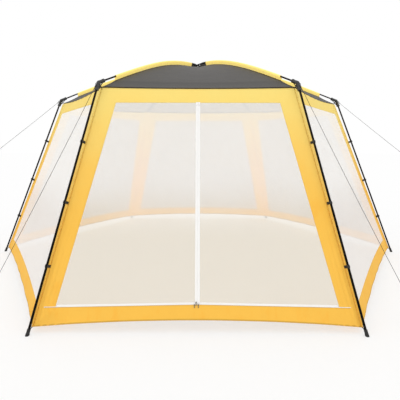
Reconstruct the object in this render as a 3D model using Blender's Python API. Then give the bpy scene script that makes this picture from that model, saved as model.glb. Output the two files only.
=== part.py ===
"""Six-sided screen tent with bowed roof poles, outside legs, net walls and a zipped door.

Metres, +Z up. The origin is on the ground under the middle of the roof, and the door wall faces -Y.
"""

from math import cos, pi, radians, sin, sqrt

import bmesh
import bpy
from mathutils import Vector

# Plan and heights of the pole frame
FOOT_RADIUS = 2.50
KNEE_RADIUS = 1.784
KNEE_HEIGHT = 1.956
BOW_RISE = 0.42
BOW_TAIL = 0.124
STACK_REACH = 0.90

# Tubes
LEG_TUBE = 0.0095
LEG_WALL = 0.0010
ROOF_TUBE = 0.0080
FIT = 0.0003
SEAT = 0.0004
TUBE_SIDES = 12
POLE_SIDES = 8

# Moulded elbow
ELBOW_ROOF_ARM = 0.072
ELBOW_LEG_ARM = 0.078
ELBOW_BODY = 0.0145
ELBOW_BEND = 0.035
ROOF_COLLAR = 0.0165
LEG_COLLAR = 0.0178
COLLAR_LENGTH = 0.016
CHAMFER = 0.002
ROOF_SOCKET = 0.040
LEG_SOCKET = 0.045
WEB_THICKNESS = 0.005
WEB_REACH = 0.0125
HOOK_ROD = 0.0028
HOOK_KNOB = 0.0052
EYE_MAJOR = 0.0085
EYE_MINOR = 0.0023
EYE_DROP = 0.026

# Rubber feet
FOOT_HEIGHT = 0.046
FOOT_PAD = 0.0145
FOOT_BODY = 0.0130
FOOT_FLOOR = 0.0085
STRAP_ROD = 0.0024
STRAP_START = 0.034

# Clips that hold the corner seams to the legs
CLIP_HEIGHTS = (1.430, 0.935, 0.465)
CLIP_OUTER = 0.0135
CLIP_LENGTH = 0.024
CLIP_ARM = 0.0032

# Cloth: roof and sleeves
EAVE_INSET = 0.039
EAVE_DROP = 0.034
CLOTH = 0.003
ROOF_CLOTH = 0.004
ROOF_SAG = 0.040
EAVE_SAG = 0.012
SIDE_EAVE_SAG = 0.034
EAVE_LAP = 0.005
RIDGE_DROP = 0.036
APEX_GAP = 0.003
SLEEVE_START = 0.19
SLEEVE_STOP = 0.180
SLEEVE_HALF = 0.0130
SLEEVE_TOP = 0.0120

# Cloth: walls
HEM_INSET = 0.045
HEM_HEIGHT = 0.048
HEM_ARCH = 0.046
CORNER_INSET = 0.0025
SIDE_BORDER = 0.124
SIDE_WIDENING = 0.046
TOP_BAND = 0.156
BOTTOM_BAND = 0.139
BOTTOM_ARCH = 0.034
DOOR_ARCH = 0.020
NET = 0.0012
NET_GAP = 0.0004

# Door
ZIP_HALF = 0.019
ZIP_FOOT = 0.011
ZIP_TAPE = 0.0016
FOLD_GAP = 0.0010
FOLD_PROUD = 0.0010
ZIP_TOP_END = 0.018
ZIP_FOOT_END = 0.006
SLIDER_WIDTH = 0.009
SLIDER_BODY = 0.013
SLIDER_THICK = 0.0050
PULL_LENGTH = 0.014
PULL_THICK = 0.0016
DOOR_SLIDER_LIFT = 0.0095
FOOT_SLIDER_LEFT = 0.022
FOOT_SLIDER_RIGHT = 0.008

# Guy ropes and pegs
ROPE = 0.00175
ROPE_SLACK = 0.010
ROPE_POINTS = 18
PEG_ROD = 0.003
PEG_RISE = 0.045
PEG_LEAN = 0.35
ROPE_TIE = 0.026

CORNERS = (
    ("right", 0),
    ("back_right", 60),
    ("back_left", 120),
    ("left", 180),
    ("front_left", 240),
    ("front_right", 300),
)
WALLS = (
    ("front", 270),
    ("front_right", 330),
    ("back_right", 30),
    ("back", 90),
    ("back_left", 150),
    ("front_left", 210),
)
PEGS = {
    "front_left": (-1.72, -2.05),
    "front_right": (1.72, -2.05),
    "back_left": (-1.72, 2.05),
    "back_right": (1.72, 2.05),
    "left": (-3.57, -1.50),
    "right": (3.57, -1.50),
}

for old in list(bpy.data.objects):
    bpy.data.objects.remove(old, do_unlink=True)


def material(name, color, roughness, metallic=0.0, alpha=1.0):
    made = bpy.data.materials.new(name)
    made.use_nodes = True
    shader = made.node_tree.nodes["Principled BSDF"]
    shader.inputs["Base Color"].default_value = (*color, 1.0)
    shader.inputs["Roughness"].default_value = roughness
    shader.inputs["Metallic"].default_value = metallic
    shader.inputs["Alpha"].default_value = alpha
    return made


def place(angle, out, along, up):
    """The world point at these distances out from the middle, along to the left of that, and up."""
    turn = radians(angle)
    return Vector((out * cos(turn) - along * sin(turn), out * sin(turn) + along * cos(turn), up))


def add_skin(bm, loops, wrap=False):
    """One closed skin over loops of equal length, with flat caps, or with wrap its last loop joins its first."""
    rows = [[bm.verts.new(point) for point in loop] for loop in loops]
    pairs = list(zip(rows, rows[1:]))
    if wrap:
        pairs.append((rows[-1], rows[0]))
    faces = []
    for first, second in pairs:
        count = len(first)
        for i in range(count):
            j = (i + 1) % count
            faces.append(bm.faces.new((first[i], first[j], second[j], second[i])))
    if not wrap:
        faces.append(bm.faces.new(rows[0]))
        faces.append(bm.faces.new(rows[-1]))
    bmesh.ops.recalc_face_normals(bm, faces=faces)


def finish(name, bm, paint, smooth=True, origin=None, helper=False):
    """The object made from this bmesh, with its origin moved to the point given."""
    mesh = bpy.data.meshes.new(name)
    if origin is not None:
        bmesh.ops.translate(bm, verts=bm.verts, vec=-origin)
    bm.to_mesh(mesh)
    bm.free()
    mesh.materials.append(paint)
    if smooth:
        for polygon in mesh.polygons:
            polygon.use_smooth = True
        mesh.set_sharp_from_angle(angle=radians(38))
    made = bpy.data.objects.new(name, mesh)
    bpy.context.scene.collection.objects.link(made)
    if origin is not None:
        made.location = origin
    if helper:
        made.hide_render = True
        made.display_type = "WIRE"
    return made


def join(target, helper):
    union = target.modifiers.new("Join " + helper.name, "BOOLEAN")
    union.operation = "UNION"
    union.solver = "EXACT"
    union.object = helper


def rings(angle, stations, sides=TUBE_SIDES):
    """Loops round a path in the upright plane at this angle, from (out, up, way out, way up, radius)."""
    loops = []
    for out, up, go_out, go_up, radius in stations:
        loop = []
        for i in range(sides):
            turn = 2 * pi * (i + 0.5) / sides
            lift = radius * sin(turn)
            loop.append(place(angle, out - go_up * lift, radius * cos(turn), up + go_out * lift))
        loops.append(loop)
    return loops


def along_line(start, direction, cuts):
    """Stations on a straight line: (distance, radius) for each cut."""
    return [
        (start[0] + direction[0] * at, start[1] + direction[1] * at, *direction, radius)
        for at, radius in cuts
    ]


def rod(angle, start, end, radii, sides=8):
    """Stations of a straight rod between two points, with one radius at each of the equal steps."""
    length = sqrt((end[0] - start[0]) ** 2 + (end[1] - start[1]) ** 2)
    direction = ((end[0] - start[0]) / length, (end[1] - start[1]) / length)
    cuts = [(length * i / (len(radii) - 1), radius) for i, radius in enumerate(radii)]
    return rings(angle, along_line(start, direction, cuts), sides)


# Lines of the pole frame, as (out, up) in the upright plane of a corner
LEG_LENGTH = sqrt((FOOT_RADIUS - KNEE_RADIUS) ** 2 + KNEE_HEIGHT**2)
LEG_WAY = ((FOOT_RADIUS - KNEE_RADIUS) / LEG_LENGTH, -KNEE_HEIGHT / LEG_LENGTH)
BOW_SPAN = KNEE_RADIUS - BOW_TAIL
BOW_SLOPE = -BOW_RISE * pi / (2 * BOW_SPAN)
ROOF_WAY = (1 / sqrt(1 + BOW_SLOPE**2), BOW_SLOPE / sqrt(1 + BOW_SLOPE**2))
POLE_PITCH = 2 * ROOF_TUBE + 2 * FIT
KNEE = (KNEE_RADIUS, KNEE_HEIGHT)
FOOT = (FOOT_RADIUS, 0.0)

# Corners of the cloth: at the eave inside the knee, at the hem inside the foot
EAVE_RADIUS = KNEE_RADIUS - EAVE_INSET
EAVE_HEIGHT = KNEE_HEIGHT - EAVE_DROP
HEM_RADIUS = FOOT_RADIUS - HEM_INSET
SLEEVE_END = EAVE_RADIUS - SLEEVE_STOP


def bow(out):
    """Height of a bowed pole's centre line before the three are stacked at the apex."""
    reach = abs(out)
    top = KNEE_HEIGHT - BOW_SLOPE * BOW_TAIL + BOW_RISE
    if reach < BOW_SPAN:
        return top - BOW_RISE * (1 - cos(pi * reach / (2 * BOW_SPAN)))
    return top - BOW_RISE + BOW_SLOPE * (reach - BOW_SPAN)


def stack(out, layer):
    """How far a pole lies under the top one: whole pitches at the apex, nothing further out."""
    reach = min(abs(out) / STACK_REACH, 1.0)
    return -layer * POLE_PITCH * (1 - reach**2) ** 2


def pole_height(out, layer):
    return bow(out) + stack(out, layer)


LAYER = {
    "left": 2,
    "right": 2,
    "front_left": 1,
    "back_right": 1,
    "front_right": 0,
    "back_left": 0,
}

BLACK_STEEL = material("black_painted_steel", (0.016, 0.015, 0.015), 0.38)
BLACK_PLASTIC = material("black_moulded_plastic", (0.030, 0.031, 0.033), 0.46)
BLACK_RUBBER = material("black_rubber", (0.018, 0.018, 0.018), 0.80)
YELLOW_CLOTH = material("yellow_cloth", (0.93, 0.55, 0.11), 0.78)
GREY_CLOTH = material("grey_cloth", (0.13, 0.125, 0.115), 0.74)
WHITE_NET = material("white_net", (0.90, 0.89, 0.86), 0.85, alpha=0.45)
ZIP_WHITE = material("white_zip_tape", (0.88, 0.87, 0.83), 0.65)
ZIP_METAL = material("dark_zip_slider", (0.06, 0.06, 0.06), 0.42)
ROPE_GREY = material("grey_rope", (0.32, 0.32, 0.32), 0.85)
PEG_STEEL = material("zinc_plated_steel", (0.55, 0.55, 0.56), 0.35, metallic=1.0)


# Roof poles: three bows from elbow to elbow, stacked where they cross
POLE_END = KNEE[0] - ROOF_WAY[0] * (ELBOW_ROOF_ARM - ROOF_SOCKET + 2 * FIT)
SLEEVE_STEPS = [SLEEVE_START + (SLEEVE_END - SLEEVE_START) * i / 8 for i in range(9)]
RIB_STEPS = (SLEEVE_START / 2, *SLEEVE_STEPS)
HALF_POLE = (*RIB_STEPS, POLE_END)
for name, angle, layer in (("side", 0, 2), ("left_diagonal", 60, 1), ("right_diagonal", 120, 0)):
    stations = []
    for out in [-step for step in reversed(HALF_POLE)] + [0.0, *HALF_POLE]:
        rise = pole_height(out + 0.001, layer) - pole_height(out - 0.001, layer)
        size = sqrt(0.002**2 + rise**2)
        stations.append((out, pole_height(out, layer), 0.002 / size, rise / size, ROOF_TUBE))
    bm = bmesh.new()
    add_skin(bm, rings(angle, stations, POLE_SIDES))
    finish("roof_pole_" + name, bm, BLACK_STEEL)


# Elbows: two blind sockets on a bent body, a web and hook inside the bend, an eye for the rope outside
def elbow_stations():
    socket = 1 / cos(pi / TUBE_SIDES)
    half_turn = (LEG_WAY[0] * ROOF_WAY[0] + LEG_WAY[1] * ROOF_WAY[1])
    tangent = ELBOW_BEND * sqrt((1 - half_turn) / (1 + half_turn))
    roof_bore = (ROOF_TUBE + FIT) * socket
    leg_bore = (LEG_TUBE + FIT) * socket
    mouth = -ELBOW_ROOF_ARM
    roof_cuts = [
        (mouth + ROOF_SOCKET, roof_bore),
        (mouth, roof_bore),
        (mouth, ROOF_COLLAR - CHAMFER),
        (mouth + CHAMFER, ROOF_COLLAR),
        (mouth + COLLAR_LENGTH, ROOF_COLLAR),
        (mouth + COLLAR_LENGTH + CHAMFER, ELBOW_BODY - 0.0005),
    ]
    leg_cuts = [
        (ELBOW_LEG_ARM - COLLAR_LENGTH - CHAMFER, ELBOW_BODY + 0.0005),
        (ELBOW_LEG_ARM - COLLAR_LENGTH, LEG_COLLAR),
        (ELBOW_LEG_ARM - CHAMFER, LEG_COLLAR),
        (ELBOW_LEG_ARM, LEG_COLLAR - CHAMFER),
        (ELBOW_LEG_ARM, leg_bore),
        (ELBOW_LEG_ARM - LEG_SOCKET, leg_bore),
    ]
    stations = along_line(KNEE, ROOF_WAY, roof_cuts)
    begin = (KNEE[0] - ROOF_WAY[0] * tangent, KNEE[1] - ROOF_WAY[1] * tangent)
    end = (KNEE[0] + LEG_WAY[0] * tangent, KNEE[1] + LEG_WAY[1] * tangent)
    steps = 4
    for i in range(steps + 1):
        t = i / steps
        out = (1 - t) ** 2 * begin[0] + 2 * t * (1 - t) * KNEE[0] + t**2 * end[0]
        up = (1 - t) ** 2 * begin[1] + 2 * t * (1 - t) * KNEE[1] + t**2 * end[1]
        go_out = (1 - t) * ROOF_WAY[0] + t * LEG_WAY[0]
        go_up = (1 - t) * ROOF_WAY[1] + t * LEG_WAY[1]
        size = sqrt(go_out**2 + go_up**2)
        stations.append((out, up, go_out / size, go_up / size, ELBOW_BODY))
    return stations + along_line(KNEE, LEG_WAY, leg_cuts)


def elbow_web():
    """Corners of the flat web, clear of both sockets: one inside the bend, then one inside each arm."""
    bend = (ROOF_WAY[1] + LEG_WAY[1], -ROOF_WAY[0] - LEG_WAY[0])
    size = 2 * (WEB_REACH - 0.001) / (bend[0] ** 2 + bend[1] ** 2)
    return (
        (KNEE[0] + bend[0] * size, KNEE[1] + bend[1] * size),
        (
            KNEE[0] - ROOF_WAY[0] * (ELBOW_ROOF_ARM - 0.006) + ROOF_WAY[1] * WEB_REACH,
            KNEE[1] - ROOF_WAY[1] * (ELBOW_ROOF_ARM - 0.006) - ROOF_WAY[0] * WEB_REACH,
        ),
        (
            KNEE[0] + LEG_WAY[0] * (ELBOW_LEG_ARM - 0.006) + LEG_WAY[1] * WEB_REACH,
            KNEE[1] + LEG_WAY[1] * (ELBOW_LEG_ARM - 0.006) - LEG_WAY[0] * WEB_REACH,
        ),
    )


HOOK_START = (KNEE[0] - 0.016, KNEE[1] - 0.018)
HOOK_END = (EAVE_RADIUS + EAVE_LAP + SEAT + HOOK_KNOB, EAVE_HEIGHT)
EYE_ROOT = (
    KNEE[0] + LEG_WAY[0] * EYE_DROP - LEG_WAY[1] * (ELBOW_BODY + 0.006),
    KNEE[1] + LEG_WAY[1] * EYE_DROP + LEG_WAY[0] * (ELBOW_BODY + 0.006),
)


def add_eye(bm, angle):
    """A ring standing in the corner's upright plane."""
    loops = []
    for i in range(12):
        turn = 2 * pi * i / 12
        loop = []
        for j in range(6):
            roll = 2 * pi * j / 6
            reach = EYE_MAJOR + EYE_MINOR * cos(roll)
            out = EYE_ROOT[0] + reach * cos(turn)
            up = EYE_ROOT[1] + reach * sin(turn)
            loop.append(place(angle, out, EYE_MINOR * sin(roll), up))
        loops.append(loop)
    add_skin(bm, loops, wrap=True)


for name, angle in CORNERS:
    bm = bmesh.new()
    add_skin(bm, rings(angle, elbow_stations()))
    elbow = finish("elbow_" + name, bm, BLACK_PLASTIC)
    bm = bmesh.new()
    half = WEB_THICKNESS / 2
    add_skin(bm, [[place(angle, out, side, up) for out, up in elbow_web()] for side in (-half, half)])
    add_eye(bm, angle)
    join(elbow, finish("elbow_web_" + name, bm, BLACK_PLASTIC, helper=True))
    bm = bmesh.new()
    radii = [HOOK_ROD] * 4 + [HOOK_KNOB * 0.8, HOOK_KNOB, HOOK_KNOB * 0.6]
    add_skin(bm, rod(angle, HOOK_START, HOOK_END, radii))
    join(elbow, finish("elbow_hook_" + name, bm, BLACK_PLASTIC, helper=True))


# Legs: open tubes from elbow socket to foot socket, each with three clips that reach in to the corner seam
def leg_out(up):
    """Distance out of the leg's centre line at this height."""
    return FOOT_RADIUS - up * (FOOT_RADIUS - KNEE_RADIUS) / KNEE_HEIGHT


def seam_out(up):
    """Distance out of the cloth's corner seam at this height."""
    share = (up - HEM_HEIGHT) / (EAVE_HEIGHT - HEM_HEIGHT)
    return HEM_RADIUS + (EAVE_RADIUS - HEM_RADIUS) * share


def leg_span():
    """Distances from the foot's ground point to the two ends of the tube."""
    knee = sqrt((FOOT[0] - KNEE[0]) ** 2 + KNEE[1] ** 2)
    return FOOT_FLOOR + 2 * FIT, knee - ELBOW_LEG_ARM + LEG_SOCKET - 2 * FIT


def leg_cuts():
    """Outer skin from the foot up, with a collar for each clip, then the inner skin back down."""
    low, high = leg_span()
    cuts = [(low, LEG_TUBE)]
    for height in reversed(CLIP_HEIGHTS):
        at = height / -LEG_WAY[1]
        cuts += [(at - CLIP_LENGTH / 2, LEG_TUBE), (at - CLIP_LENGTH / 2, CLIP_OUTER)]
        cuts += [(at - CLIP_ARM, CLIP_OUTER), (at + CLIP_ARM, CLIP_OUTER)]
        cuts += [(at + CLIP_LENGTH / 2, CLIP_OUTER), (at + CLIP_LENGTH / 2, LEG_TUBE)]
    inner = LEG_TUBE - LEG_WALL
    return cuts + [(high, LEG_TUBE), (high, inner), (low, inner)]


def draw_arm(bm, root, tip, share):
    """Draws the face nearest the root out into an arm. Its end has this share of the size and lies at the tip."""
    face = min(bm.faces, key=lambda each: (each.calc_center_median() - root).length)
    end = bmesh.ops.extrude_discrete_faces(bm, faces=[face])["faces"][0]
    centre = end.calc_center_median()
    for vert in end.verts:
        vert.co = tip + (vert.co - centre) * share


UP_LEG = (-LEG_WAY[0], -LEG_WAY[1])
for name, angle in CORNERS:
    bm = bmesh.new()
    add_skin(bm, rings(angle, along_line(FOOT, UP_LEG, leg_cuts())), wrap=True)
    for height in CLIP_HEIGHTS:
        up = height - CLIP_OUTER * LEG_WAY[0]
        root = place(angle, leg_out(height) + CLIP_OUTER * LEG_WAY[1], 0, up)
        draw_arm(bm, root, place(angle, seam_out(up) + SEAT + FIT, 0, up), 0.85)
    finish("leg_" + name, bm, BLACK_STEEL)


# Feet: rubber caps on the legs, cut flat where they stand, each with a strap to the hem's corner
def foot_loops(angle):
    socket = (LEG_TUBE + FIT) / cos(pi / TUBE_SIDES)
    cuts = [
        (0.012, FOOT_PAD),
        (0.012, FOOT_PAD),
        (0.019, FOOT_BODY),
        (FOOT_HEIGHT - 0.002, FOOT_BODY),
        (FOOT_HEIGHT, FOOT_BODY - 0.0015),
        (FOOT_HEIGHT, socket),
        (FOOT_FLOOR, socket),
    ]
    loops = rings(angle, along_line(FOOT, UP_LEG, cuts))
    down = place(angle, LEG_WAY[0], 0, LEG_WAY[1])
    loops[0] = [point - down * (point.z / down.z) for point in loops[0]]
    return loops


for name, angle in CORNERS:
    bm = bmesh.new()
    add_skin(bm, foot_loops(angle))
    foot = finish("foot_" + name, bm, BLACK_RUBBER)
    bm = bmesh.new()
    start = (leg_out(STRAP_START) - FOOT_BODY + 0.0009, STRAP_START)
    end = (HEM_RADIUS + SEAT + 0.002, HEM_HEIGHT - 0.001)
    add_skin(bm, rod(angle, start, end, [STRAP_ROD, STRAP_ROD, STRAP_ROD * 0.8], 6))
    join(foot, finish("foot_strap_" + name, bm, BLACK_RUBBER, helper=True))


# Roof: one cloth shell over six gores, hung from the ribs and dipping between them
def ridge_drop(out):
    """How far the roof cloth lies under the pole's centre line. Past the sleeve it falls in a hollow curve."""
    beyond = max(out - SLEEVE_END, 0) / (EAVE_RADIUS - SLEEVE_END)
    at_eave = bow(EAVE_RADIUS) - EAVE_HEIGHT
    return RIDGE_DROP + (at_eave - RIDGE_DROP) * (1 - (1 - beyond) ** 3)


def ridge_height(out, layer):
    """Top of the roof cloth along a rib. At the middle the cloth rises to just under the lowest pole."""
    peak = pole_height(0, 2) - ROOF_TUBE - APEX_GAP
    lift = max(1 - out / SLEEVE_START, 0) ** 2
    height = pole_height(out, layer) - ridge_drop(out)
    return height + (peak - (pole_height(0, layer) - RIDGE_DROP)) * lift


def eave_sag(angle):
    """Dip of the eave at the middle of the wall at this angle. It is tighter over the front and the back."""
    return EAVE_SAG if angle % 180 == 90 else SIDE_EAVE_SAG


def roof_loop(out, below):
    loop = []
    steps = 6
    for (first, turn), (second, _) in zip(CORNERS, CORNERS[1:] + CORNERS[:1]):
        a = place(turn, out, 0, ridge_height(out, LAYER[first]))
        b = place(turn + 60, out, 0, ridge_height(out, LAYER[second]))
        for i in range(steps):
            s = i / steps
            dip = ROOF_SAG * sin(pi * out / EAVE_RADIUS) + eave_sag(turn + 30) * (out / EAVE_RADIUS) ** 4
            point = a.lerp(b, s)
            point.z -= dip * 4 * s * (1 - s) + below
            loop.append(point)
    return loop


HOLLOW_STEPS = [SLEEVE_END + (EAVE_RADIUS - SLEEVE_END) * share for share in (0.22, 0.5)]
ROOF_RINGS = (0.03, *RIB_STEPS, *HOLLOW_STEPS, EAVE_RADIUS + EAVE_LAP)
bm = bmesh.new()
roof_loops = [roof_loop(out, 0) for out in ROOF_RINGS]
roof_loops += [roof_loop(out, ROOF_CLOTH) for out in reversed(ROOF_RINGS)]
add_skin(bm, roof_loops)
finish("canopy", bm, GREY_CLOTH)


# Sleeves: cloth tubes round the roof poles, sewn down along the rib
def sleeve_loops(angle, layer):
    bore = (ROOF_TUBE + 2 * FIT) / cos(pi / POLE_SIDES)
    base = RIDGE_DROP - SEAT
    outer, inner = [], []
    for out in SLEEVE_STEPS:
        middle = pole_height(out, layer)
        outer_loop, inner_loop = [], []
        for j in range(POLE_SIDES):
            turn = 2 * pi * j / POLE_SIDES
            side, lift = cos(turn), sin(turn)
            wide = SLEEVE_HALF * side
            high = (SLEEVE_TOP if lift > 0 else base) * lift
            outer_loop.append(place(angle, out, wide, middle + high))
            inner_loop.append(place(angle, out, bore * side, middle + bore * lift))
        outer.append(outer_loop)
        inner.append(inner_loop)
    return outer + inner[::-1]


for name, angle in CORNERS:
    bm = bmesh.new()
    add_skin(bm, sleeve_loops(angle, LAYER[name]), wrap=True)
    finish("sleeve_" + name, bm, YELLOW_CLOTH)


# Walls: each is a leaning flat plane with its own across and upslope distances
HALF_TURN = cos(pi / 6)
EAVE_OUT = EAVE_RADIUS * HALF_TURN
HEM_OUT = HEM_RADIUS * HALF_TURN
SLOPE = sqrt((HEM_OUT - EAVE_OUT) ** 2 + (EAVE_HEIGHT - HEM_HEIGHT) ** 2)
SLOPE_UP = ((EAVE_OUT - HEM_OUT) / SLOPE, (EAVE_HEIGHT - HEM_HEIGHT) / SLOPE)
WINDOW_TOP = SLOPE - TOP_BAND


def wall_point(angle, across, upslope, proud=0.0):
    out = HEM_OUT + SLOPE_UP[0] * upslope + SLOPE_UP[1] * proud
    up = HEM_HEIGHT + SLOPE_UP[1] * upslope - SLOPE_UP[0] * proud
    return place(angle, out, across, up)


def wall_half(upslope):
    """Half the wall's width at this distance up the slope, less the inset at the corner seam."""
    share = upslope / SLOPE
    return (HEM_RADIUS + (EAVE_RADIUS - HEM_RADIUS) * share) / 2 - CORNER_INSET


def hem_line(across):
    return HEM_ARCH * (1 - (across / wall_half(0)) ** 2)


def eave_line(across, sag):
    """Upper edge of the wall, just under the roof cloth and dipping with it."""
    dip = sag * (1 - (across / wall_half(SLOPE)) ** 2)
    fall = (ridge_height(HOLLOW_STEPS[-1], 0) - EAVE_HEIGHT) / (EAVE_RADIUS - HOLLOW_STEPS[-1])
    return SLOPE - (ROOF_CLOTH + SEAT + EAVE_LAP * fall + dip + CLOTH / 4) / SLOPE_UP[1]


def window_half(upslope):
    """Half the net's width. The side borders widen towards the eave."""
    return wall_half(upslope) - SIDE_BORDER - SIDE_WIDENING * upslope / SLOPE


def window_foot(across, straight):
    """Lower edge of the net: an arch, or two straight lines where the door's zip runs."""
    share = abs(across) / window_half(BOTTOM_BAND)
    return BOTTOM_BAND + (DOOR_ARCH * (1 - share) if straight else BOTTOM_ARCH * (1 - share**2))


def loop_of(foot, top, half, low_half, high_half):
    """Points round a wall shape: along the foot, up the right side, back along the top, down the left."""
    points = []
    for i in range(12):
        across = low_half * (i / 6 - 1)
        points.append((across, foot(across)))
    low, high = foot(low_half), top(high_half)
    for i in range(4):
        upslope = low + (high - low) * i / 4
        points.append((half(upslope), upslope))
    for i in range(6):
        across = high_half * (1 - i / 3)
        points.append((across, top(across)))
    for i in range(4):
        upslope = high + (low - high) * i / 4
        points.append((-half(upslope), upslope))
    return points


def wall_loop(angle):
    def top(across):
        return eave_line(across, eave_sag(angle))

    return loop_of(hem_line, top, wall_half, wall_half(0), wall_half(top(wall_half(SLOPE))))


def window_loop(straight, shrink=0.0):
    def foot(across):
        return window_foot(across, straight) + shrink

    def top(across):
        return WINDOW_TOP - shrink

    def half(upslope):
        return window_half(upslope) - shrink

    return loop_of(foot, top, half, half(BOTTOM_BAND), half(WINDOW_TOP))


def layers(angle, points, thickness):
    """The outline on both faces of a sheet that lies in the wall's plane."""
    return [[wall_point(angle, *point, proud) for point in points] for proud in (thickness / 2, -thickness / 2)]


for name, angle in WALLS:
    front, back = layers(angle, wall_loop(angle), CLOTH)
    near, far = layers(angle, window_loop(name == "front"), CLOTH)
    bm = bmesh.new()
    add_skin(bm, [front, near, far, back], wrap=True)
    finish("wall_border_" + name, bm, YELLOW_CLOTH, smooth=False)
    if name != "front":
        bm = bmesh.new()
        add_skin(bm, layers(angle, window_loop(False, NET_GAP), NET))
        finish("net_" + name, bm, WHITE_NET, smooth=False)


# Door: each half of the net folds outwards about the line from the zip's top to its own lower corner.
# The fold lies proud of the net, so that a half can lie back on the fixed net, and the tape's ends are
# cut blunt to clear the other half and the border as it turns.
def inset(corners, distances):
    """A convex outline with each edge moved in by its own distance. Edge i runs from corner i to the next."""
    count = len(corners)
    turn = 0.0
    for i in range(count):
        a, b = corners[i], corners[(i + 1) % count]
        turn += a[0] * b[1] - b[0] * a[1]
    sign = 1 if turn > 0 else -1
    lines = []
    for i in range(count):
        a, b = corners[i], corners[(i + 1) % count]
        length = sqrt((b[0] - a[0]) ** 2 + (b[1] - a[1]) ** 2)
        way = ((b[0] - a[0]) / length, (b[1] - a[1]) / length)
        inward = (-way[1] * sign, way[0] * sign)
        lines.append((a[0] + inward[0] * distances[i], a[1] + inward[1] * distances[i], way))
    moved = []
    for i in range(count):
        x1, y1, d1 = lines[i - 1]
        x2, y2, d2 = lines[i]
        cross = d1[0] * d2[1] - d1[1] * d2[0]
        t = ((x2 - x1) * d2[1] - (y2 - y1) * d2[0]) / cross
        moved.append((x1 + d1[0] * t, y1 + d1[1] * t))
    return moved


def at_upslope(a, b, upslope):
    """Where the line from a to b crosses this height up the slope."""
    share = (upslope - a[1]) / (b[1] - a[1])
    return (a[0] + (b[0] - a[0]) * share, upslope)


def door_sheet(name, points, thickness, paint, origin=None):
    bm = bmesh.new()
    add_skin(bm, layers(270, points, thickness))
    finish(name, bm, paint, smooth=False, origin=origin)


FOOT_HALF = window_half(BOTTOM_BAND)
TOP_CENTRE = (0.0, WINDOW_TOP)
FOOT_CENTRE = (0.0, BOTTOM_BAND + DOOR_ARCH)
for name, side in (("left", -1), ("right", 1)):
    low = (side * FOOT_HALF, BOTTOM_BAND)
    high = (side * window_half(WINDOW_TOP), WINDOW_TOP)
    hinge = wall_point(270, *TOP_CENTRE, FOLD_PROUD)
    fixed = inset((TOP_CENTRE, high, low), (NET_GAP, NET_GAP, FOLD_GAP))
    door_sheet("door_side_net_" + name, fixed, NET, WHITE_NET)
    moving = (TOP_CENTRE, low, FOOT_CENTRE)
    rim = inset(moving, (FOLD_GAP, NET_GAP, NET_GAP / 2))
    band = inset(moving, (FOLD_GAP, NET_GAP + ZIP_FOOT, ZIP_HALF))
    top_end = [at_upslope(rim[0], far, WINDOW_TOP - ZIP_TOP_END) for far in (rim[2], rim[1])]
    foot_end = [at_upslope(rim[0], rim[1], rim[1][1] + ZIP_FOOT_END)]
    foot_end.append((rim[1][0] - side * ZIP_FOOT_END, rim[1][1] + ZIP_FOOT_END * DOOR_ARCH / FOOT_HALF))
    tape = [*top_end, band[0], band[2], band[1], *foot_end, rim[2]]
    door_sheet("zip_tape_" + name, tape, ZIP_TAPE, ZIP_WHITE, hinge)
    net = inset(moving, (FOLD_GAP, 2 * NET_GAP + ZIP_FOOT, ZIP_HALF + NET_GAP))
    door_sheet("door_flap_" + name, net, NET, WHITE_NET, hinge)


# Zip sliders: a body on the tape with a hanging pull, in one outline pushed across
def slider(name, across, upslope, tilt, seat):
    """The slider standing on the sheet at this spot, its pull hanging down the slope."""
    body = SLIDER_BODY / 2
    outline = (
        (-body, 0.0),
        (body, 0.0),
        (body, SLIDER_THICK - 0.0012),
        (body - 0.002, SLIDER_THICK),
        (-body, SLIDER_THICK),
        (-body - PULL_LENGTH + 0.002, SLIDER_THICK),
        (-body - PULL_LENGTH, SLIDER_THICK - 0.0004),
        (-body - PULL_LENGTH, SLIDER_THICK - PULL_THICK),
        (-body, SLIDER_THICK - PULL_THICK),
    )
    half = SLIDER_WIDTH / 2
    loops = []
    for shift in (-half, half):
        loop = []
        for along, proud in outline:
            loop.append(wall_point(270, across + shift, upslope + along + shift * tilt, seat + proud))
        loops.append(loop)
    bm = bmesh.new()
    add_skin(bm, loops)
    finish(name, bm, ZIP_METAL, smooth=False, origin=wall_point(270, across, upslope, seat))


FOOT_TILT = DOOR_ARCH / FOOT_HALF
slider("zip_slider_door", -ZIP_HALF / 2, FOOT_CENTRE[1] + DOOR_SLIDER_LIFT, 0.0, ZIP_TAPE / 2 + SEAT)
for name, side, offset in (("left", -1, FOOT_SLIDER_LEFT), ("right", 1, FOOT_SLIDER_RIGHT)):
    upslope = FOOT_CENTRE[1] - FOOT_TILT * offset - SLIDER_BODY / 2 - 0.002
    slider("zip_slider_" + name, side * offset, upslope, -side * FOOT_TILT, CLOTH / 2 + SEAT)


# Guy ropes: from the eye on each elbow to a peg's hook, with a slight sag
def curve(name, points, radius, paint, resolution=2):
    data = bpy.data.curves.new(name, "CURVE")
    data.dimensions = "3D"
    data.bevel_depth = radius
    data.bevel_resolution = resolution
    data.use_fill_caps = True
    line = data.splines.new("POLY")
    line.points.add(len(points) - 1)
    for slot, point in zip(line.points, points):
        slot.co = (*point, 1.0)
    data.materials.append(paint)
    made = bpy.data.objects.new(name, data)
    bpy.context.scene.collection.objects.link(made)


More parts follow.
